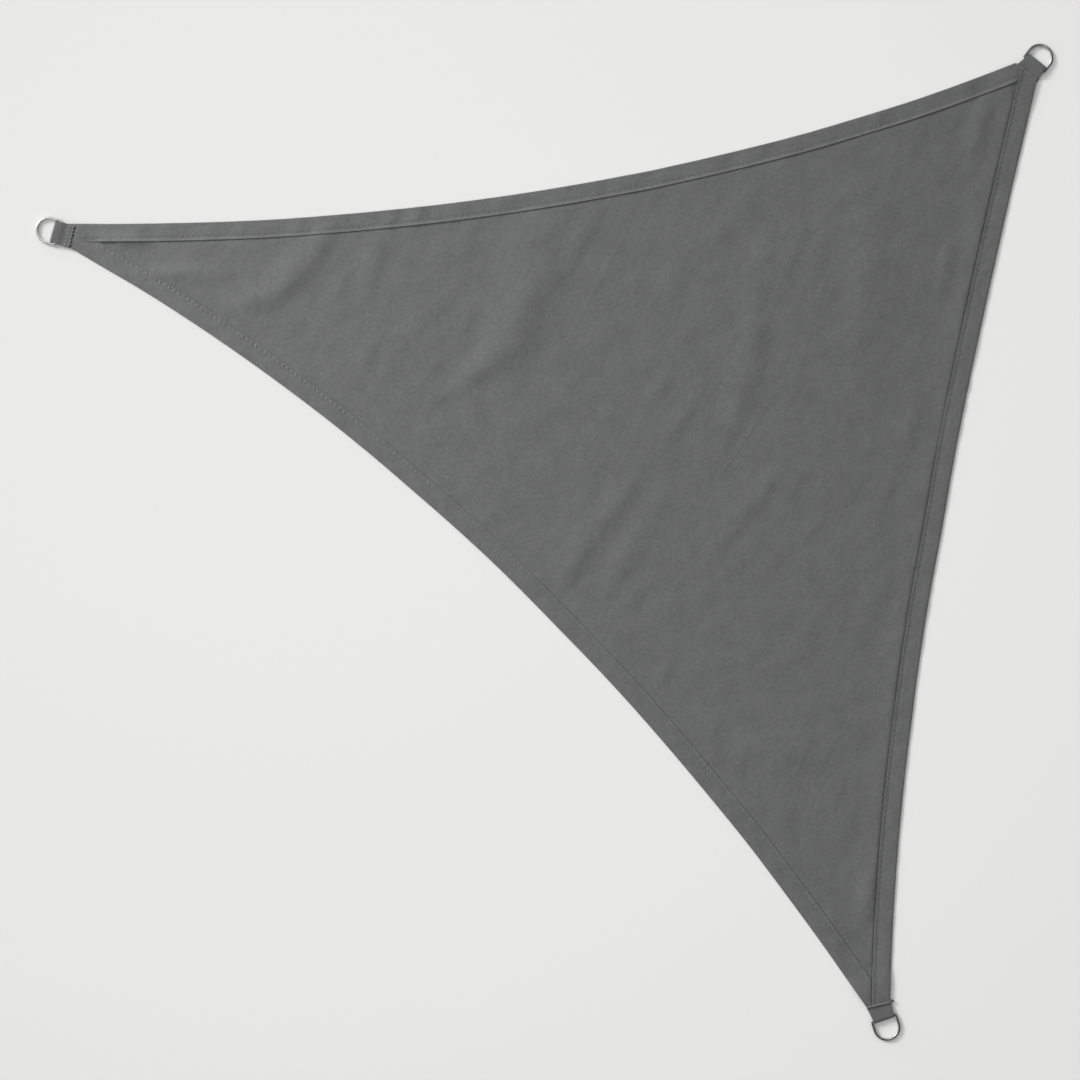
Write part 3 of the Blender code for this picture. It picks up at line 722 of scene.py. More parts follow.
def hem_parameters(name, stations, insets):
    """Parameters of each row's points: the stations, leaning towards the corner's line at both ends."""
    length = chord(EDGES[name])[3]
    first, last = end_parameters(name, insets)
    near_first = np.clip(1.0 - (stations - stations[0]) * length / END_BLEND, 0.0, 1.0)
    near_last = np.clip(1.0 - (stations[-1] - stations) * length / END_BLEND, 0.0, 1.0)
    lean_first = (first - stations[0])[:, None] * near_first[None, :]
    lean_last = (last - stations[-1])[:, None] * near_last[None, :]
    return stations[None, :] + lean_first + lean_last


def under_hem(name, points):
    """Height of the other hems' cloth that this hem lies on."""
    total = np.zeros(len(points))
    for other in LIES_ON[name]:
        edge = EDGES[other]
        total += HEM_STACK * smooth((edge.hem + STACK_RAMP / 2.0 - inside_by(edge, points)) / STACK_RAMP)
    return total


def flare_at(name, points):
    """The inner edge stands up, less under another hem and next to the corners."""
    edge = EDGES[name]
    along = run_along(edge, points)
    flare = edge.flare * (1.0 + FLARE_WAVER_BY * waver_at(FLARE_WAVER, along))
    if name == "lower":
        early = smooth((LOWER_FLARE_ENDS - along_edge(edge, points)) / LOWER_FLARE_FADE)
        flare = flare * (LOWER_FLARE_LEFT + early)
    if name == "top":
        from_peak = (along - TOP_FLARE_AT) / TOP_FLARE_WIDTH
        flare = flare * (1.0 + TOP_FLARE_MORE * np.exp(-(from_peak**2)))
    for other, cover in EDGES.items():
        if name in LIES_ON[other]:
            past = inside_by(cover, points) - cover.hem
            flare = flare * (1.0 - smooth((COVER_RAMP - past) / COVER_RAMP))
    return flare * off_corners(name, points, FLARE_FROM_CORNER, CORNER_FLARE)


def crumple_at(name, points):
    """Unevenness of the hem's top cloth, which fades towards its outer edge and its stitches."""
    edge = EDGES[name]
    along, across = run_along(edge, points), inside_by(edge, points)
    middle = (edge.hem - edge.stitch) / 2.0
    share = np.clip(CRUMPLE_SPREAD - np.abs(across - middle) / middle, 0.0, 1.0)
    return share * layered_noise(HEM_CRUMPLES, along, across)


def closed_at(name, points):
    """The share of its height that a hem's inner edge keeps: little where its end is sewn down."""
    if name != "top":
        return np.ones(len(points))
    past = corner_depth("left", points) - SEWN_DOWN
    return SEWN_LEFT + (1.0 - SEWN_LEFT) * smooth(past / SEWN_RAMP)


def make_hem(name):
    """Points of one hem as rows by stations by xyz. Its first row is the panel's outline."""
    edge = EDGES[name]
    stations = hem_stations(name)
    count = len(stations)
    holes = (np.arange(count) % 2 == 0).astype(float)
    radius = (FOLD_SEPARATION + under_hem(name, edge_point(edge, stations, np.zeros(count)))) / 2.0
    rows = []
    for turn in np.radians(FOLD_ANGLES):
        points = edge_point(edge, stations, CLOTH / 2.0 + radius * (1.0 + math.cos(turn)))
        height = underside(points) + CLOTH / 2.0 + radius * (1.0 + math.sin(turn))
        rows.append(np.column_stack((points, height)))
    wanted = hem_rows(name)
    insets = np.array([row_inset(row, edge) for row in wanted])
    for row, inset, t in zip(wanted, insets, hem_parameters(name, stations, insets)):
        points = edge_point(edge, t, np.full(count, inset))
        own = row.lift + row.flare * flare_at(name, points)
        if row.measured == "inner":
            own = own * closed_at(name, points)
        if row.lift > TOP_LAYER:
            own = own + crumple_at(name, points)
        pressed = off_corners(name, points, PRESS_REACH, PRESSED)  # by the corner's seam
        lift = (under_hem(name, points) + own) * pressed - row.hole * HOLE_DEPTH * holes
        rows.append(np.column_stack((points, underside(points) + CLOTH / 2.0 + lift)))
    return np.array(rows)


def crease_points():
    groups = []
    for crease in CREASES:
        crest = crest_of(crease)
        run = run_of(crest[:, :2])
        places = np.linspace(0.0, run[-1], round(run[-1] / CREASE_POINTS) + 1)
        middle = np.column_stack([np.interp(places, run, crest[:, k]) for k in range(3)])
        along = unit(np.gradient(middle[:, :2], axis=0))
        side = np.column_stack((-along[:, 1], along[:, 0]))
        groups += [middle[:, :2] + side * aside * middle[:, 2:3] for aside in ACROSS_CREASE]
    return np.concatenate(groups)


def puff_points():
    """Points in staggered rows along the inner edge of each hem."""
    groups = []
    for name, edge in EDGES.items():
        count = round(chord(edge)[3] / ALONG_PUFF)
        t = np.linspace(0.0, 1.0, count + 1)
        for k, place in enumerate(PUFF_ROWS):
            shifted = t + 0.5 * (k % 2) / count
            row = edge_point(edge, shifted, np.full(len(t), edge.hem + place))
            others = [EDGES[other] for other in EDGES if other != name]
            clear = np.min([inside_by(other, row) - other.hem for other in others], axis=0)
            groups.append(row[clear > PUFF_ROWS[-1] + CLEAR_OF_PUFF])
    points = np.concatenate(groups)
    return points[inside_sail(points, CLEAR_OF_EDGE)]


def inside_sail(points, clearance):
    inside = np.ones(len(points), bool)
    for edge in EDGES.values():
        inside &= inside_by(edge, points) > clearance
    for corner in TABS:
        inside &= corner_depth(corner, points) > clearance
    return inside


def panel_points():
    """A staggered grid along the folds, with closer points at the creases."""
    along, across = fold_directions()
    row_step = PANEL_GRID * math.sqrt(3.0) / 2.0
    row_numbers = np.arange(-GRID_REACH / row_step, GRID_REACH / row_step)
    i, j = np.meshgrid(row_numbers, np.arange(-GRID_REACH / PANEL_GRID, GRID_REACH / PANEL_GRID))
    shifted = (j + 0.5 * (np.round(i) % 2)) * PANEL_GRID
    grid = (i * row_step)[..., None] * across + shifted[..., None] * along
    grid = grid.reshape(-1, 2)
    grid = grid[inside_sail(grid, CLEAR_OF_EDGE)]
    for edge in EDGES.values():
        past = inside_by(edge, grid) - edge.hem
        grid = grid[(past < PUFF_ROWS[0] - CLEAR_OF_PUFF) | (past > PUFF_ROWS[-1] + CLEAR_OF_PUFF)]
    fine = crease_points()
    beside = puff_points()
    for point in fine:
        grid = grid[np.linalg.norm(grid - point, axis=1) > GRID_FROM_CREASE]
        beside = beside[np.linalg.norm(beside - point, axis=1) > PUFF_FROM_CREASE]
    return np.concatenate((fine, beside, grid))


def panel_mesh(outline):
    """Vertices and triangles of the cloth inside the outline, and the outline's vertices by number."""
    flat = [Vector(p[:2]) for p in outline] + [Vector(p) for p in panel_points()]
    count = len(outline)
    lines = [(i, (i + 1) % count) for i in range(count)]
    placed, _, triangles, sources, *_ = delaunay_2d_cdt(flat, lines, [], INSIDE_ONLY, SAME_POINT)
    index_of = {source: i for i, group in enumerate(sources) for source in group}
    xy = np.array([tuple(p) for p in placed])
    vertices = np.column_stack((xy, underside(xy) + CLOTH / 2.0))
    border = [index_of[i] for i in range(count)]
    vertices[border] = outline
    faces = []
    for a, b, c in triangles:
        ab, ac = xy[b] - xy[a], xy[c] - xy[a]
        faces.append((a, b, c) if ab[0] * ac[1] - ab[1] * ac[0] > 0.0 else (a, c, b))
    return vertices, faces, border


def make_sail_sheet():
    """The panel and its hems as one sheet. Gives the hems' points too, for their stitches."""
    hems = {name: make_hem(name) for name in EDGES}
    panel, faces, border = panel_mesh(np.concatenate([hem[0] for hem in hems.values()]))
    groups, holes = [panel], [np.zeros(len(panel))]
    total, first = len(panel), 0
    for name, hem in hems.items():
        rows, stations = hem.shape[:2]
        added = total + np.arange((rows - 1) * stations).reshape(rows - 1, stations)
        faces += grid_faces(np.vstack((border[first : first + stations], added)))
        # painted shade in and beside the stitch holes, kept in the sheet's hole attribute
        painted_hole_shade = np.zeros((rows, stations))
        painted_hole_shade[STITCH_ROW, ::2] = HOLE_PAINTED_SHADE[name]
        painted_hole_shade[STITCH_ROW - 1 : STITCH_ROW + 2 : 2, ::2] = HOLE_RIM_PAINTED_SHADE * HOLE_PAINTED_SHADE[name]
        groups.append(hem[1:].reshape(-1, 3))
        holes.append(painted_hole_shade[1:].reshape(-1))
        total += added.size
        first += stations
    points = np.concatenate(groups)
    mesh = bpy.data.meshes.new("sail_sheet")
    mesh.from_pydata(points.tolist(), [], faces)
    # painted shade in the groove along the right hem, darker next to the bottom corner
    right = EDGES["right"]
    beyond = (inside_by(right, points[:, :2]) - right.hem) / GROOVE
    to_corner = smooth((along_edge(right, points[:, :2]) - CORNER_GROOVE_FROM) / CORNER_GROOVE_RAMP)
    painted_shade = GROOVE_PAINTED_SHADE + CORNER_GROOVE_PAINTED_SHADE * to_corner
    for key, values in (("hole", np.concatenate(holes)), ("beyond", beyond), ("groove", painted_shade)):
        mesh.attributes.new(key, "FLOAT", "POINT").data.foreach_set("value", values)
    return placed_object("sail_sheet", thickened(mesh, CLOTH)), hems


# ------------------------ making meshes


def placed_object(name, mesh, material=None):
    obj = bpy.data.objects.new(name, mesh)
    bpy.context.collection.objects.link(obj)
    if material:
        mesh.materials.append(material)
    return obj


def thickened(mesh, thickness):
    """The sheet given its thickness, half of it to each side, as a closed mesh."""
    obj = placed_object("sheet_being_made", mesh)
    solidify = obj.modifiers.new("Solidify", "SOLIDIFY")
    solidify.thickness = thickness
    solidify.offset = 0.0
    graph = bpy.context.evaluated_depsgraph_get()
    closed = bpy.data.meshes.new_from_object(obj.evaluated_get(graph))
    bpy.data.objects.remove(obj)
    closed.shade_smooth()
    closed.set_sharp_from_angle(angle=math.radians(SHEET_SHARP))
    return closed


def grid_faces(grid):
    """Faces between the rows of a grid of vertex numbers."""
    corners = (grid[:-1, :-1], grid[:-1, 1:], grid[1:, 1:], grid[1:, :-1])
    return np.stack(corners, axis=-1).reshape(-1, 4).tolist()


def wrapped(grid):
    """The grid with its first column once more at the end, for a surface that goes all round."""
    return np.concatenate((grid, grid[:, :1]), axis=1)


def side_vectors(path, closed):
    """For each point of a path, a level unit vector across it and one square to both."""
    ahead = np.roll(path, -1, axis=0) - np.roll(path, 1, axis=0)
    if not closed:
        ahead[0] = path[1] - path[0]
        ahead[-1] = path[-1] - path[-2]
    ahead = unit(ahead)
    across = unit(np.cross((0.0, 0.0, 1.0), ahead))
    return across, np.cross(ahead, across)


def turns_round(sides):
    """Angles of a tube's sides, in radians."""
    return [2.0 * math.pi * k / sides for k in range(sides)]


def add_tube(store, path, radii, sides, flat=1.0, closed=False):
    """Adds a round wire or thread to the store of points and faces. Flat squeezes its height."""
    points, faces = store
    path = np.asarray(path, float)
    grid = len(points) + np.arange(len(path) * sides).reshape(len(path), sides)
    for p, r, a, o in zip(path, radii, *side_vectors(path, closed)):
        for turn in turns_round(sides):
            points.append(p + r * (math.cos(turn) * a + flat * math.sin(turn) * o))
    around = wrapped(grid)
    if closed:
        faces += grid_faces(np.vstack((around, around[:1])))
    else:
        faces += grid_faces(around) + [grid[0, ::-1].tolist(), grid[-1].tolist()]


def mesh_of(name, store, material):
    points, faces = store
    mesh = bpy.data.meshes.new(name)
    mesh.from_pydata([tuple(p) for p in points], [], faces)
    mesh.shade_smooth()
    mesh.set_sharp_from_angle(angle=math.radians(TUBE_SHARP))
    return placed_object(name, mesh, material)


# ------------------------ sewing

# A stitch comes up out of the cloth and goes down into it: place along it as a share of its length,
# and height and thickness in its radius.
STITCH_SHAPE = (
    (-0.50, -0.9, 0.55),
    (-0.40, 0.05, 0.95),
    (-0.15, 0.42, 1.0),
    (0.15, 0.42, 1.0),
    (0.40, 0.05, 0.95),
    (0.50, -0.9, 0.55),
)
THREAD_SIDES = 6
SLANT_WAVER = Waver(0.37, 0.0, 31.0)  # for each point of the row, as the next one
SLANT_BY = 24.0
SINK_WAVER = Waver(0.11, 3.0, 37.0)
SINK_BY = 0.0003
SUNK_THICKNESS = 0.9
STITCH_LIFT = 0.00005

# Towards the bottom corner the lower hem's stitches are drawn down and look thinner
DRAWN_ENDS = 0.82
DRAWN_RAMP = 0.32
DRAWN_DOWN = 0.0004
DRAWN_THIN = 0.60

# On the underside only a small dash shows of each stitch
DASH_RADII = (0.00018, 0.00030, 0.00018)
DASH_LIFT = 0.00010


def turned(direction, slant):
    """The direction turned by this many degrees, seen from above."""
    turn = math.radians(slant)
    x, y, *rest = direction
    ahead = (x * math.cos(turn) - y * math.sin(turn), x * math.sin(turn) + y * math.cos(turn))
    return np.array((*ahead, *rest))


def add_stitch(store, middle, direction, length, slant, radius):
    """One stitch: a short thread that comes up out of the cloth and goes down into it."""
    ahead = turned(direction, slant)
    path = [
        middle + ahead * length * share + np.array((0.0, 0.0, radius * height))
        for share, height, _ in STITCH_SHAPE
    ]
    add_tube(store, path, [radius * size for *_, size in STITCH_SHAPE], THREAD_SIDES)


def hem_stitches(name, hem, material):
    """The row of stitches along a hem, above it and on the underside."""
    row, stitch = hem[STITCH_ROW], STITCHES[name]
    store = ([], [])
    slant = stitch.slant + SLANT_BY * waver_at(SLANT_WAVER, np.arange(len(row)))
    sunk = waver_at(SINK_WAVER, np.arange(len(row)))
    for k in range(1, len(row) - 1, 2):
        direction = unit(row[k + 1] - row[k - 1])
        middle = row[k] + np.array((0.0, 0.0, CLOTH / 2.0 + STITCH_LIFT + SINK_BY * sunk[k]))
        size = stitch.thread / 2.0 * (1.0 + SUNK_THICKNESS * sunk[k])
        if name == "lower":
            drawn = float(smooth((DRAWN_ENDS - k / len(row)) / DRAWN_RAMP))
            middle[2] -= DRAWN_DOWN * drawn
            size *= 1.0 - DRAWN_THIN * drawn
        add_stitch(store, middle, direction, stitch.length, slant[k], size)
        below = np.array((*row[k, :2], underside(row[k : k + 1, :2])[0] + DASH_LIFT))
        half = direction * np.array((1.0, 1.0, 0.0)) * stitch.length / 2.0
        add_tube(store, [below - half, below, below + half], DASH_RADII, THREAD_SIDES)
    return mesh_of("hem_stitches_" + name, store, material)


# ------------------------ tabs

TAB_STEPS = {"under": 16, "loop": 25, "fall": 17, "end": 10}  # points of the strip's centreline
STRAIGHT_FALL = 0.6  # how straight the top ply comes down where it ends under the sail
TAB_COLUMNS = 13
SELVEDGE_TURNS = (50.0, 0.0, -50.0)
SELVEDGE_UNEVEN = 0.0004
SELVEDGE_RATE = 0.35
SELVEDGE_LAYER = 2.0


def loop_radius():
    """Outer radius of the tab's loop round the ring's bar."""
    return WIRE / 2.0 + BAR_CLEARANCE + TAB_CLOTH


def tab_centreline(tab):
    """The folded strip seen from its side, as (distance from the ring end, height), finely stepped."""
    half = TAB_CLOTH / 2.0
    radius = loop_radius()
    end = tab_end(tab)
    line = [(x, half) for x in np.linspace(end, radius, TAB_STEPS["under"])[:-1]]
    for turn in np.linspace(-0.5, -1.5, TAB_STEPS["loop"]) * math.pi:
        line.append(tuple(radius + (radius - half) * np.array((math.cos(turn), math.sin(turn)))))
    top = 2.0 * radius - half
    layers = SOLID_CLOTH + 2.0 * SOLID_HEM_RISE + GAP if tab.over_sail else 0.0
    rest = TAB_CLOTH + GAP + layers + half
    flat_to = radius + tab.slack + TAB_FLAT
    fall = TAB_FALL if tab.over_sail else tab.shown - flat_to
    straight = 0.0 if tab.over_sail else STRAIGHT_FALL
    for share in np.linspace(0.0, 1.0, TAB_STEPS["fall"]):
        down = (1.0 - straight) * float(smooth(share)) + straight * share
        line.append((flat_to + fall * share, top + (rest - top) * down))
    line += [(x, rest) for x in np.linspace(flat_to + fall, end, TAB_STEPS["end"])[1:]]
    return np.array(line)


def tab_half_width(inward_by, tab):
    share = min(max(inward_by, 0.0) / tab.shown, 1.0)
    return 0.5 * (tab.at_ring + (tab.at_seam - tab.at_ring) * share**tab.bow)


def make_tab(name, tab, material):
    """The strip with rounded, slightly uneven selvedges."""
    line = tab_centreline(tab)
    half = TAB_CLOTH / 2.0
    ahead = unit(np.gradient(line, axis=0))
    normal = np.column_stack((-ahead[:, 1], ahead[:, 0]))
    uneven = waver_at(Waver(SELVEDGE_RATE, tab.x, SELVEDGE_LAYER), np.arange(len(line)))
    shares, turns = np.linspace(-1.0, 1.0, TAB_COLUMNS), np.radians(SELVEDGE_TURNS)
    points = []
    for place, out, more in zip(line, normal, uneven):
        width = tab_half_width(place[0], tab) - half + SELVEDGE_UNEVEN * more
        ring = [(share * width, 1.0) for share in shares]
        ring += [(width + half * math.cos(a), math.sin(a)) for a in turns]
        ring += [(share * width, -1.0) for share in shares[::-1]]
        ring += [(-width - half * math.cos(a), -math.sin(a)) for a in turns]
        for across, side in ring:
            face = place + out * half * side
            points.append((*tab_point(tab, face[0], across), face[1]))
    grid = np.arange(len(points)).reshape(len(line), -1)
    faces = grid_faces(wrapped(grid).T) + [grid[0].tolist(), grid[-1, ::-1].tolist()]
    return mesh_of(f"tab_{name}_strip", (points, faces), material)


# ------------------------ sewing at the corners

# The height that counts where nothing lies under a stitch
CORNER_TOP = 0.006
HEM_TOP = 0.005

# A seam's stitches: place along each in its reach, thickness, height in its radius, and how far
# down that point goes besides. Those before the middle follow the cloth under them.
SEAM_SHAPE = (
    (-1.0, 0.7, 0.0, 0.0001),
    (-0.6, 1.0, 1.0, 0.0),
    (0.0, 1.0, 0.9, 0.0),
    (0.6, 1.0, -0.3, 0.0),
    (1.0, 0.7, 0.0, 0.0022),
)
SEAM_SEEDS = {"top": 3.0, "bottom": 6.0}
SEAM_SLANT = 38.0
SEAM_SLANT_BY = 30.0
SEAM_SLANT_RATE = 0.31
SEAM_THICK_BY = 0.8
SEAM_THICK_RATE = 0.17
SEAM_THICK_ROW = 8.0
SEAM_ASTRAY = 0.0006
SEAM_INSIDE = 0.0012  # this far in from the stitch the cloth's height is taken

TAB_ROW_SHIFT = 0.0018
TAB_STITCH_RATE = 0.7
TAB_STITCH_SEED = 3.0
TAB_STITCH_LAYER = 5.0
TAB_STITCH_ASTRAY = 0.0008
TAB_STITCH_SLANT_BY = 14.0
TAB_STITCH_LIFT = 0.0001

# A frayed thread: place along it, swing to the side, height and radius
FRAY_SHAPE = (
    (0.0, 0.0, 0.0009, 0.00045),
    (0.6, 0.0009, 0.0006, 0.00050),
    (1.0, 0.0022, 0.0001, 0.00024),
)
FRAY_SIDES = 5
FRAY_WIDTH = 0.98  # of the strip
FRAY_START = 0.0008
FRAY_LENGTH = 0.0012
FRAY_LONGER = 0.0040
FRAY_LONGER_FROM = 0.45
FRAY_SWING = Waver(0.83, 1.0, 9.0)
FRAY_TUFTS = Waver(0.23, 4.0, 9.0)

# The bit of hem at the bottom corner: its start from the corner's outer end, its run, and its radius
# at shares of that run
HEM_END_START = (-0.0040, 0.0016, 0.0042)
HEM_END_RUN = (0.0122, -0.0012, -0.0006)
HEM_END = (
    (0.0, 0.0006), (0.15, 0.0018), (0.55, 0.0023), (0.85, 0.0022), (0.97, 0.0015), (1.0, 0.0005),
)
HEM_END_SIDES = 12
HEM_END_FLAT = 0.8


def height_over(obj):
    """Gives the height of an object's upper surface over a place on the floor."""
    tree = BVHTree.FromObject(obj, bpy.context.evaluated_depsgraph_get())

    def height(x, y, otherwise):
        hit = tree.ray_cast(Vector((x, y, 1.0)), Vector((0.0, 0.0, -1.0)))
        return hit[0].z if hit[0] else otherwise

    return height


def corner_seam(corner, sail, material):
    """The seam that closes a corner over its tab: slanted stitches close together, light and uneven."""
    first, second = corner_line(corner)
    length = np.linalg.norm(second - first)
    along = (second - first) / length
    out = np.array((-along[1], along[0]))
    height = height_over(sail)
    store = ([], [])
    count = round(length / SEAM_PITCH)
    places = np.arange(1, count)
    astray = waver_at(Waver(SEAM_SLANT_RATE, SEAM_SEEDS[corner], 0.0), places)
    thick = waver_at(Waver(SEAM_THICK_RATE, SEAM_THICK_ROW, SEAM_SEEDS[corner]), places)
    for share, wander, more in zip(places / count, astray, thick):
        size = SEAM_THREAD / 2.0 * (1.0 + SEAM_THICK_BY * more)
        ahead = turned(along, SEAM_SLANT + SEAM_SLANT_BY * wander)
        middle = first + along * length * share + out * (SEAM_OUT[corner] + SEAM_ASTRAY * wander)
        top = height(*(middle - out * SEAM_INSIDE), CORNER_TOP)
        path = []
        for place, _, rise, drop in SEAM_SHAPE:
            spot = middle + ahead * SEAM_REACH * place
            base = height(*spot, top) if place < 0.0 else top
            path.append((*spot, base + rise * size - drop))
        add_tube(store, path, [size * thickness for _, thickness, *_ in SEAM_SHAPE], THREAD_SIDES)
    return mesh_of("corner_seam_" + corner, store, material)


def tab_stitches(strip, material):
    """Two rows of slanted stitches through the tab that lies on the left corner."""
    tab = TABS["left"]
    inward, _ = tab_axes(tab)
    height = height_over(strip)
    store = ([], [])
    for row, (from_end, slant, fall) in enumerate(TAB_STITCH_ROWS):
        place = tab_end(tab) - from_end
        waver = Waver(TAB_STITCH_RATE, TAB_STITCH_SEED * row, TAB_STITCH_LAYER)
        for k, wander in enumerate(waver_at(waver, np.arange(TAB_STITCHES))):
            across = (k - (TAB_STITCHES - 1) / 2.0) * TAB_STITCH_PITCH + TAB_ROW_SHIFT * row
            spot = tab_point(tab, place + TAB_STITCH_ASTRAY * wander, across)
            middle = np.array((*spot, height(*spot, CORNER_TOP) + TAB_STITCH_LIFT))
            turn = slant + TAB_STITCH_SLANT_BY * wander
            add_stitch(store, middle, (*inward, -fall), TAB_STITCH_LENGTH, turn, TAB_THREAD / 2.0)
    return mesh_of("tab_stitches_left", store, material)


def crossing_stitches(sail, material):
    """The lower hem's stitches, which go on over the sewn-down end of the top hem."""
    height = height_over(sail)
    store = ([], [])
    first, last = (np.array(end) for end in CROSSING)
    along = unit(last - first)
    stitch = STITCHES["lower"]
    for share in np.linspace(0.0, 1.0, CROSSING_STITCHES):
        spot = first + (last - first) * share
        middle = np.array((*spot, height(*spot, HEM_TOP)))
        add_stitch(store, middle, (*along, 0.0), stitch.length, stitch.slant, CROSSING_THREAD / 2.0)
    return mesh_of("crossing_stitches_left", store, material)


def fray_with_painted_shadow(sail, material):
    """Threads that come out of the cut end of the tab on the left corner, made dark as painted shadow of
    that end.
    """
    tab = TABS["left"]
    inward, side = tab_axes(tab)
    height = height_over(sail)
    store = ([], [])
    threads = np.arange(FRAY_THREADS)
    swings = waver_at(FRAY_SWING, threads)
    longer = FRAY_LONGER * np.maximum(waver_at(FRAY_TUFTS, threads) + FRAY_LONGER_FROM, 0.0)
    for share, swing, more in zip(threads / (FRAY_THREADS - 1), swings, longer):
        start = tab_point(tab, tab_end(tab) - FRAY_START, (share - 0.5) * FRAY_WIDTH * tab.at_seam)
        run = inward * (FRAY_LENGTH + more)
        spots = [start + run * place + side * aside * swing for place, aside, *_ in FRAY_SHAPE]
        base = height(*spots[-1], HEM_TOP)
        path = [(*spot, base + rise) for spot, (_, _, rise, _) in zip(spots, FRAY_SHAPE)]
        add_tube(store, path, [radius for *_, radius in FRAY_SHAPE], FRAY_SIDES)
    return mesh_of("frayed_end_left", store, material)


def hem_end_fold(material):
    """The small fold of hem that sticks out at the bottom corner's seam."""
    start = np.array((*corner_line("bottom")[0], 0.0)) + HEM_END_START
    path = [start + np.array(HEM_END_RUN) * share for share, _ in HEM_END]
    store = ([], [])
    add_tube(store, path, [radius for _, radius in HEM_END], HEM_END_SIDES, flat=HEM_END_FLAT)
    return mesh_of("hem_end_bottom", store, material)


# ------------------------ rings

BAR_STEPS = 12
BEND_STEPS = 8
LEG_STEPS = 8
ARC_STEPS = 73
WIRE_SIDES = 24
SHADE_SIDE_EDGE = 0.95  # how sharply the wire's inner side, with less of the painted shade, ends
PAINTED_OUTER_SHADE = {"left": 0.28, "top": 0.90, "bottom": 0.92}  # painted shade on the wire's outer side, standing in for dark reflections
WELD_AT = 6.0  # degrees round the arc from its middle
WELD_WIDTH = 17.0
WELD_LUMP = 0.20
WELD_ROUGH = 0.10
WELD_RATE = 190.0
WELD_LESS_SHADE = 0.45  # how much less of the painted shade is at the weld
INNER_SIDE_SHADE_SHARE = 0.45  # the share of the painted shade that is left on the wire's inner side
SHADE_SIDE_MIDDLE = 0.85


def ring_path():
    """The wire's centreline: x away from the bar, y along the bar, and how near the weld is."""
    leg = (RING_WIDTH - WIRE) / 2.0
    straight = leg - RING_CORNER
    arc_centre = RING_DEPTH - RING_WIDTH / 2.0
    half = [(0.0, y, 0.0) for y in np.linspace(0.0, straight, BAR_STEPS)[:-1]]
    for angle in np.radians(np.linspace(0.0, 90.0, BEND_STEPS)):
        x, y = RING_CORNER * (1.0 - math.cos(angle)), straight + RING_CORNER * math.sin(angle)
        half.append((x, y, 0.0))
    half += [(x, leg, 0.0) for x in np.linspace(RING_CORNER, arc_centre, LEG_STEPS)[1:-1]]
    arc = []
    for angle in np.linspace(90.0, -90.0, ARC_STEPS):
        turn = math.radians(angle)
        weld = math.exp(-(((angle - WELD_AT) / WELD_WIDTH) ** 2))
        arc.append((arc_centre + leg * math.cos(turn), leg * math.sin(turn), weld))
    return half + arc + [(x, -y, 0.0) for x, y, _ in reversed(half[1:])]


def make_ring(name, tab, material):
    path = np.array(ring_path())
    weld = path[:, 2]
    rough = waver_at(Waver(WELD_RATE, tab.x, 0.0), path[:, 1])
    radii = WIRE / 2.0 * (1.0 + weld * (WELD_LUMP + WELD_ROUGH * rough))
    store = ([], [])
    add_tube(store, path * (1.0, 1.0, 0.0), radii, WIRE_SIDES, closed=True)
    ring = mesh_of(f"ring_{name}_wire", store, material)
    # painted shade on the wire's outer side, standing in for dark reflections; less on its inner side and
    # at the weld
    outer_side_share = smooth(SHADE_SIDE_MIDDLE + SHADE_SIDE_EDGE * np.cos(turns_round(WIRE_SIDES)))
    ring_painted_shade = PAINTED_OUTER_SHADE[name] * (INNER_SIDE_SHADE_SHARE + (1.0 - INNER_SIDE_SHADE_SHARE) * outer_side_share)
    values = {
        "weld": np.repeat(weld, WIRE_SIDES),
        "ring_painted_shade": np.outer(1.0 - WELD_LESS_SHADE * weld, ring_painted_shade).ravel(),
    }
    for key, value in values.items():
        ring.data.attributes.new(key, "FLOAT", "POINT").data.foreach_set("value", value)
    bar = tab_point(tab, loop_radius() + tab.slack, 0.0)
    dip = math.asin((loop_radius() - WIRE / 2.0) / (RING_DEPTH - WIRE / 2.0))
    ring.data.transform(
        Matrix.Translation((*bar, loop_radius()))
        @ Matrix.Rotation(math.radians(tab.heading), 4, "Z")
        @ Matrix.Rotation(dip, 4, "Y")
    )
    return ring


# ------------------------ materials

# Unevenness of the cloth's tone: repeats for each metre along its three axes, detail and roughness of
# the noise, and the shares that it gives the tone at its lowest and highest
Grain = namedtuple("Grain", "repeats detail rough low high")
SLUBS = Grain((60.0, 700.0, 60.0), 2.0, 0.5, -0.035, 0.035)
PICKS = Grain((700.0, 60.0, 60.0), 2.0, 0.5, -0.035, 0.035)
LINT = Grain((140.0, 170.0, 140.0), 2.0, 0.45, -0.22, 0.22)
CLOUDS = Grain((20.0, 26.0, 20.0), 4.0, 0.6, 0.85, 1.15)
CRUMPLES = Grain((15.0, 18.0, 15.0), 5.0, 0.47, 0.0, 1.0)
CRUMPLE_HEIGHT = 0.0025
WEAVE_PITCH = 0.0009
# painted shade of the weave: darker where it is low, between the threads, lighter on their tops
WEAVE_PAINTED_SHADE_TONES = (0.90, 1.06)
WEAVE_HEIGHT = 0.00016
WEAVE_STRENGTH = 0.45
# the cloth's tone in the painted shade of the stitch holes
HOLE_PAINTED_SHADE_TONE = 0.40
CLOTH_ROUGHNESS = (0.80, 0.95)
FIBRES, HANDLED, WELD_GRAIN = 2600.0, 260.0, 1500.0  # repeats for each metre
FIBRE_TONES = (0.80, 1.20)
HANDLED_TONES = (0.94, 1.04)
STEEL_ROUGHNESS = (0.32, 0.44)
WELD_DARK = 0.28
WELD_ROUGHNESS = 0.26
FLOOR_FAR = 3.0  # square metres: beyond this the floor gets no darker


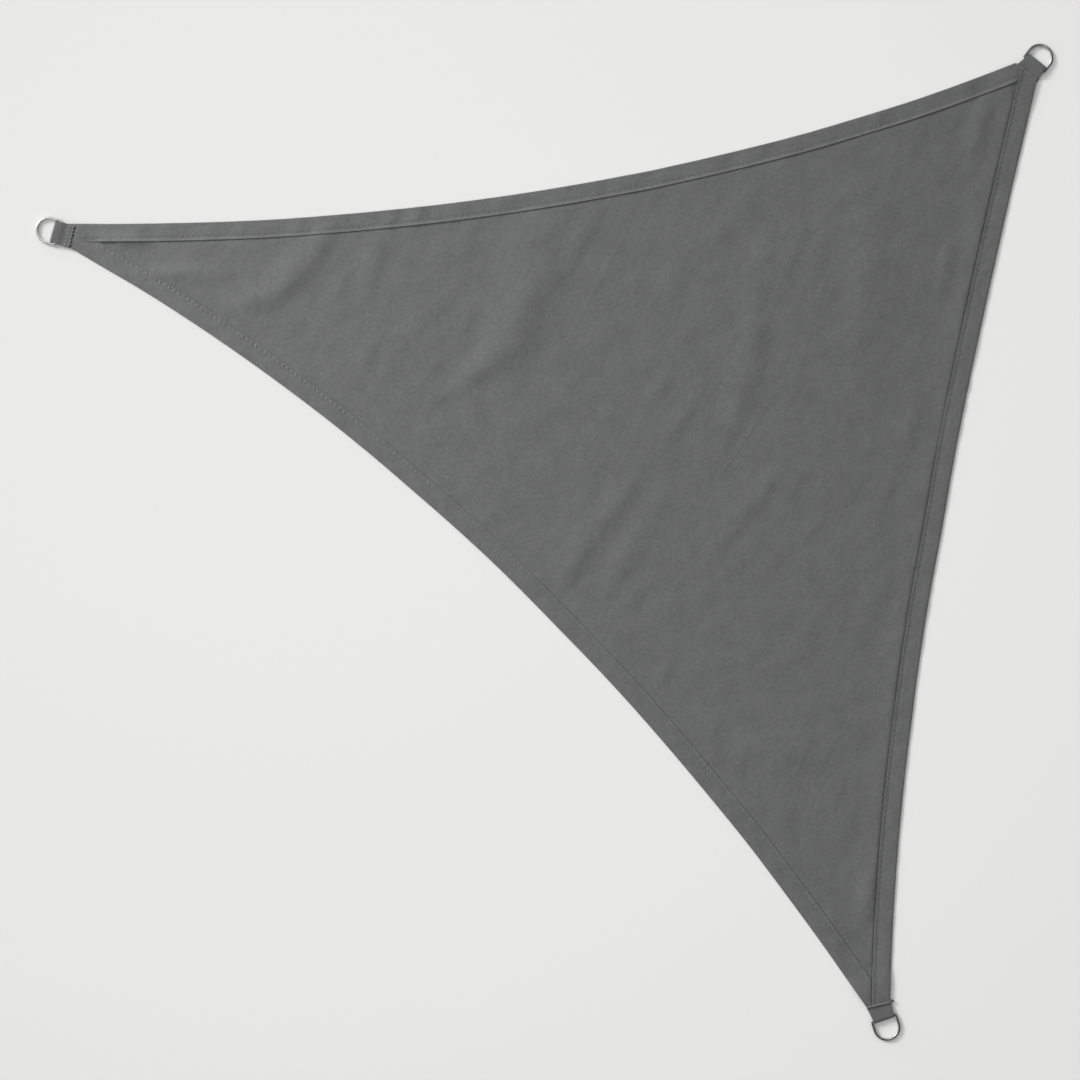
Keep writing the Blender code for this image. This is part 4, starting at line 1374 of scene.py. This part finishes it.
class Nodes:
    """A short way to write the nodes of a material or of the world."""

    def __init__(self, owner):
        owner.use_nodes = True
        self.owner = owner
        self.tree = owner.node_tree

    def add(self, kind, **settings):
        node = self.tree.nodes.new("ShaderNode" + kind)
        for key, value in settings.items():
            setattr(node, key, value)
        return node

    def put(self, value, socket):
        """Links another node's output to the socket, or sets its value."""
        if isinstance(value, bpy.types.NodeSocket):
            self.tree.links.new(value, socket)
        else:
            socket.default_value = value

    def shade(self, **values):
        """Inputs of the material's shader, with underscores for spaces in their names."""
        shader = self.tree.nodes["Principled BSDF"]
        for key, value in values.items():
            self.put(value, shader.inputs[key.replace("_", " ")])

    def math(self, operation, *values):
        node = self.add("Math", operation=operation)
        for socket, value in zip(node.inputs, values):
            self.put(value, socket)
        return node.outputs[0]

    def plus(self, a, b):
        return self.math("ADD", a, b)

    def times(self, a, b):
        return self.math("MULTIPLY", a, b)

    def less(self, a, b):
        return self.math("SUBTRACT", a, b)

    def vector(self, operation, a, b):
        node = self.add("VectorMath", operation=operation)
        self.put(a, node.inputs[0])
        self.put(b, node.inputs["Scale" if operation == "SCALE" else 1])
        return node.outputs["Value" if operation == "DOT_PRODUCT" else "Vector"]

    def split(self, vector):
        node = self.add("SeparateXYZ")
        self.put(vector, node.inputs[0])
        return node.outputs

    def place(self):
        return self.add("TexCoord").outputs["Object"]

    def attribute(self, name):
        return self.add("Attribute", attribute_name=name).outputs["Fac"]

    def noise(self, vector, scale, detail, roughness=0.5):
        node = self.add("TexNoise")
        self.put(scale, node.inputs["Scale"])
        self.put(detail, node.inputs["Detail"])
        self.put(roughness, node.inputs["Roughness"])
        self.put(vector, node.inputs["Vector"])
        return node.outputs[0]

    def ranged(self, value, low, high):
        """A value from 0 to 1 spread from low to high."""
        return self.plus(self.times(value, high - low), low)

    def bump(self, height, distance, strength, normal=None):
        node = self.add("Bump")
        self.put(distance, node.inputs["Distance"])
        self.put(strength, node.inputs["Strength"])
        self.put(height, node.inputs["Height"])
        if normal is not None:
            self.put(normal, node.inputs["Normal"])
        return node.outputs[0]

    def tinted(self, colour, share):
        """The colour made lighter or darker by a share around 1."""
        grey = self.add("CombineColor")
        for socket in grey.inputs[:3]:
            self.put(share, socket)
        node = self.add("Mix", data_type="RGBA", blend_type="MULTIPLY")
        self.put(1.0, node.inputs["Factor"])
        self.put(colour, node.inputs[6])
        self.put(grey.outputs[0], node.inputs[7])
        return node.outputs[2]


def new_material(name):
    return Nodes(bpy.data.materials.new(name))


def turned_coordinates(nodes, scale):
    """The place on the cloth, turned to run along its warp."""
    mapping = nodes.add("Mapping", vector_type="TEXTURE")
    mapping.inputs["Rotation"].default_value[2] = math.radians(FOLD_HEADING)
    nodes.put(nodes.place(), mapping.inputs["Vector"])
    return nodes.vector("MULTIPLY", mapping.outputs[0], scale)


def grain_of(nodes, grain):
    return nodes.noise(turned_coordinates(nodes, grain.repeats), 1.0, grain.detail, grain.rough)


def weave_height(nodes):
    """A plain weave: warp and weft threads that go over each other by turns."""
    threads = turned_coordinates(nodes, (1.0 / WEAVE_PITCH, 1.0 / WEAVE_PITCH, 0.0))
    x, y, _ = nodes.split(threads)
    weft, warp = (nodes.math("ABSOLUTE", nodes.math("SINE", nodes.times(way, math.pi))) for way in (x, y))
    over = nodes.add("TexChecker")
    nodes.put(1.0, over.inputs["Scale"])
    nodes.put((1.0, 1.0, 1.0, 1.0), over.inputs["Color1"])
    nodes.put((0.0, 0.0, 0.0, 1.0), over.inputs["Color2"])
    nodes.put(threads, over.inputs["Vector"])
    up = over.outputs["Fac"]
    return nodes.plus(nodes.times(warp, up), nodes.times(weft, nodes.less(1.0, up)))


def painted_groove_shade(nodes):
    """Painted shade beside the right hem: the cloth's tone is lowest in the middle of the groove."""
    away = nodes.math("ABSOLUTE", nodes.less(nodes.attribute("beyond"), 1.0))
    groove = nodes.math("MAXIMUM", nodes.less(1.0, away), 0.0)
    return nodes.less(1.0, nodes.times(groove, nodes.attribute("groove")))


def cloth_material(name, colour, fade):
    """Plain-woven cloth. The fade is a painted falloff of light that changes its tone by a share for each
    metre along x.
    """
    nodes = new_material(name)
    weave = weave_height(nodes)
    lint = grain_of(nodes, LINT)
    share = nodes.ranged(lint, LINT.low, LINT.high)
    for grain in (SLUBS, PICKS, CLOUDS):
        share = nodes.plus(share, nodes.ranged(grain_of(nodes, grain), grain.low, grain.high))
    # painted shade between the weave's threads
    share = nodes.times(share, nodes.ranged(weave, *WEAVE_PAINTED_SHADE_TONES))
    # painted shade in the stitch holes
    share = nodes.times(share, nodes.ranged(nodes.attribute("hole"), 1.0, HOLE_PAINTED_SHADE_TONE))
    # painted shade in the groove along the right hem
    share = nodes.times(share, painted_groove_shade(nodes))
    # painted falloff of light along x
    x = nodes.split(nodes.place())[0]
    share = nodes.times(share, nodes.plus(nodes.times(x, fade), 1.0))
    rough = nodes.bump(grain_of(nodes, CRUMPLES), CRUMPLE_HEIGHT, 1.0)
    nodes.shade(
        Base_Color=nodes.tinted(colour, share),
        Roughness=nodes.ranged(lint, *CLOTH_ROUGHNESS),
        Specular_IOR_Level=0.30,
        Sheen_Weight=0.10,
        Sheen_Roughness=0.5,
        Normal=nodes.bump(weave, WEAVE_HEIGHT, WEAVE_STRENGTH, rough),
    )
    return nodes.owner


def thread_material(name, colour):
    nodes = new_material(name)
    fibre = nodes.noise(nodes.place(), FIBRES, detail=2.0)
    nodes.shade(
        Base_Color=nodes.tinted(colour, nodes.ranged(fibre, *FIBRE_TONES)),
        Roughness=0.65,
        Sheen_Weight=0.15,
        Normal=nodes.bump(fibre, distance=0.0001, strength=0.6),
    )
    return nodes.owner


def steel_material(name):
    """Bright wire, darkened by painted shade that stands in for dark reflections, and rough at the weld.
    """
    nodes = new_material(name)
    place = nodes.place()
    handled = nodes.noise(place, HANDLED, detail=3.0)
    weld = nodes.attribute("weld")
    share = nodes.less(nodes.ranged(handled, *HANDLED_TONES), nodes.times(weld, WELD_DARK))
    # painted shade on the wire's outer side
    share = nodes.times(share, nodes.less(1.0, nodes.attribute("ring_painted_shade")))
    grain = nodes.times(nodes.noise(place, WELD_GRAIN, detail=3.0), weld)
    rough = nodes.ranged(handled, *STEEL_ROUGHNESS)
    nodes.shade(
        Base_Color=nodes.tinted(STEEL, share),
        Metallic=1.0,
        Roughness=nodes.plus(rough, nodes.times(weld, WELD_ROUGHNESS)),
        Normal=nodes.bump(grain, distance=0.0006, strength=0.5),
    )
    return nodes.owner


def floor_material():
    """White, with a painted falloff of light: a little darker away from the middle."""
    nodes = new_material("floor_white")
    place = nodes.place()
    squared = nodes.math("MINIMUM", nodes.vector("DOT_PRODUCT", place, place), FLOOR_FAR)
    # painted falloff of light away from the middle
    tone = nodes.ranged(squared, FLOOR_MIDDLE, FLOOR_MIDDLE - FLOOR_PAINTED_FALLOFF)
    nodes.shade(Base_Color=nodes.tinted(FLOOR_WHITE, tone), Roughness=0.9, Specular_IOR_Level=0.1)
    return nodes.owner


# ------------------------ studio

KEY_HEIGHT = 24.0  # degrees above the floor
KEY_DISTANCE = 32.0
KEY_SIZE = 8.0
KEY_POWER = 8500.0
SKY_GREYS = ((0.0, 0.40), (0.50, 0.70))  # height in the sky's ramp, and brightness there
CAMERA_SEES = 100.0


def make_floor():
    half = FLOOR_SIZE / 2.0
    mesh = bpy.data.meshes.new("floor")
    corners = [(-half, -half), (half, -half), (half, half), (-half, half)]
    mesh.from_pydata([(x, y, FLOOR_HEIGHT) for x, y in corners], [], [(0, 1, 2, 3)])
    floor = placed_object("floor", mesh, floor_material())


def make_camera():
    data = bpy.data.cameras.new("camera")
    data.sensor_width = SENSOR
    data.lens = SENSOR * CAMERA_HEIGHT / FRAME_WIDTH
    data.clip_end = CAMERA_SEES
    camera = placed_object("camera", data)
    camera.location = (CAMERA_X, CAMERA_Y, CAMERA_HEIGHT)
    bpy.context.scene.camera = camera


def make_key_light():
    """A square light that looks at the middle of the sail."""
    data = bpy.data.lights.new("key", "AREA")
    data.shape = "SQUARE"
    data.size = KEY_SIZE
    data.energy = KEY_POWER
    light = placed_object("key", data)
    around, up = math.radians(KEY_AZIMUTH), math.radians(KEY_HEIGHT)
    away = Vector((math.cos(around) * math.cos(up), math.sin(around) * math.cos(up), math.sin(up)))
    light.location = away * KEY_DISTANCE
    light.rotation_mode = "QUATERNION"
    light.rotation_quaternion = away.to_track_quat("Z", "Y")


def make_world():
    """Soft light from all round, more of it from the side of the key light."""
    world = bpy.data.worlds.new("studio")
    bpy.context.scene.world = world
    nodes = Nodes(world)
    ahead = nodes.add("TexCoord").outputs["Generated"]
    ramp = nodes.add("ValToRGB")
    for element, (position, grey) in zip(ramp.color_ramp.elements, SKY_GREYS):
        element.position = position
        element.color = (grey, grey, grey, 1.0)
    nodes.put(nodes.split(ahead)[2], ramp.inputs[0])
    turn = math.radians(KEY_AZIMUTH)
    tilt = (SKY_TILT * math.cos(turn), SKY_TILT * math.sin(turn), 0.0)
    share = nodes.plus(nodes.vector("DOT_PRODUCT", ahead, tilt), 1.0)
    background = nodes.tree.nodes["Background"]
    nodes.put(nodes.vector("SCALE", ramp.outputs[0], share), background.inputs["Color"])
    nodes.put(1.0, background.inputs["Strength"])


def make_studio():
    make_floor()
    make_camera()
    make_world()
    make_key_light()
    bpy.context.scene.view_settings.view_transform = "Standard"


# ------------------------ the whole


def dress(piece, *nodes, slot=None):
    """The piece rides on the root body, and stands for these solids if any are named."""
    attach(piece, "root")
    if nodes:
        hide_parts(*nodes)
    return piece


def main():
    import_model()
    make_studio()
    cloth = cloth_material("grey_cloth", CLOTH_GREY, PAINTED_LIGHT_ALONG_X)
    # the tabs' cloth in lit and shaded copies, one for each corner
    strips_with_painted_light = {name: cloth_material("strip_" + name, tone, 0.0) for name, tone in TAB_GREYS_WITH_PAINTED_LIGHT.items()}
    threads = {name: thread_material("thread_" + name, tone) for name, tone in THREAD_GREYS_WITH_PAINTED_LIGHT.items()}
    steel = steel_material("bright_steel")
    sail, hems = make_sail_sheet()
    sail.data.materials.append(cloth)
    dress(sail, "sail", slot="sail_cloth")
    # dark threads as painted shadow at the left tab's end
    painted_shade = thread_material("fray_painted_shadow_thread", FRAY_PAINTED_SHADOW_GREY)
    sewn = [dress(hem_stitches(name, hem, threads[name])) for name, hem in hems.items()]
    for corner, tone in SEAM_GREYS_WITH_PAINTED_LIGHT.items():
        sewn.append(dress(corner_seam(corner, sail, thread_material("seam_" + corner, tone))))
    sewn.append(dress(crossing_stitches(sail, threads["top"])))
    sewn.append(dress(hem_end_fold(strips_with_painted_light["bottom"])))
    for name, tab in TABS.items():
        piece = dress(make_tab(name, tab, strips_with_painted_light[name]), "tab_" + name, slot="tab_cloth")
        line = tab_centreline(tab)
        parts = []
        if tab.over_sail:
            parts = [
                dress(tab_stitches(piece, threads["lower"])),
                dress(fray_with_painted_shadow(sail, painted_shade)),
            ]
        dress(make_ring(name, tab, steel), "ring_" + name, slot="ring_steel")


main()
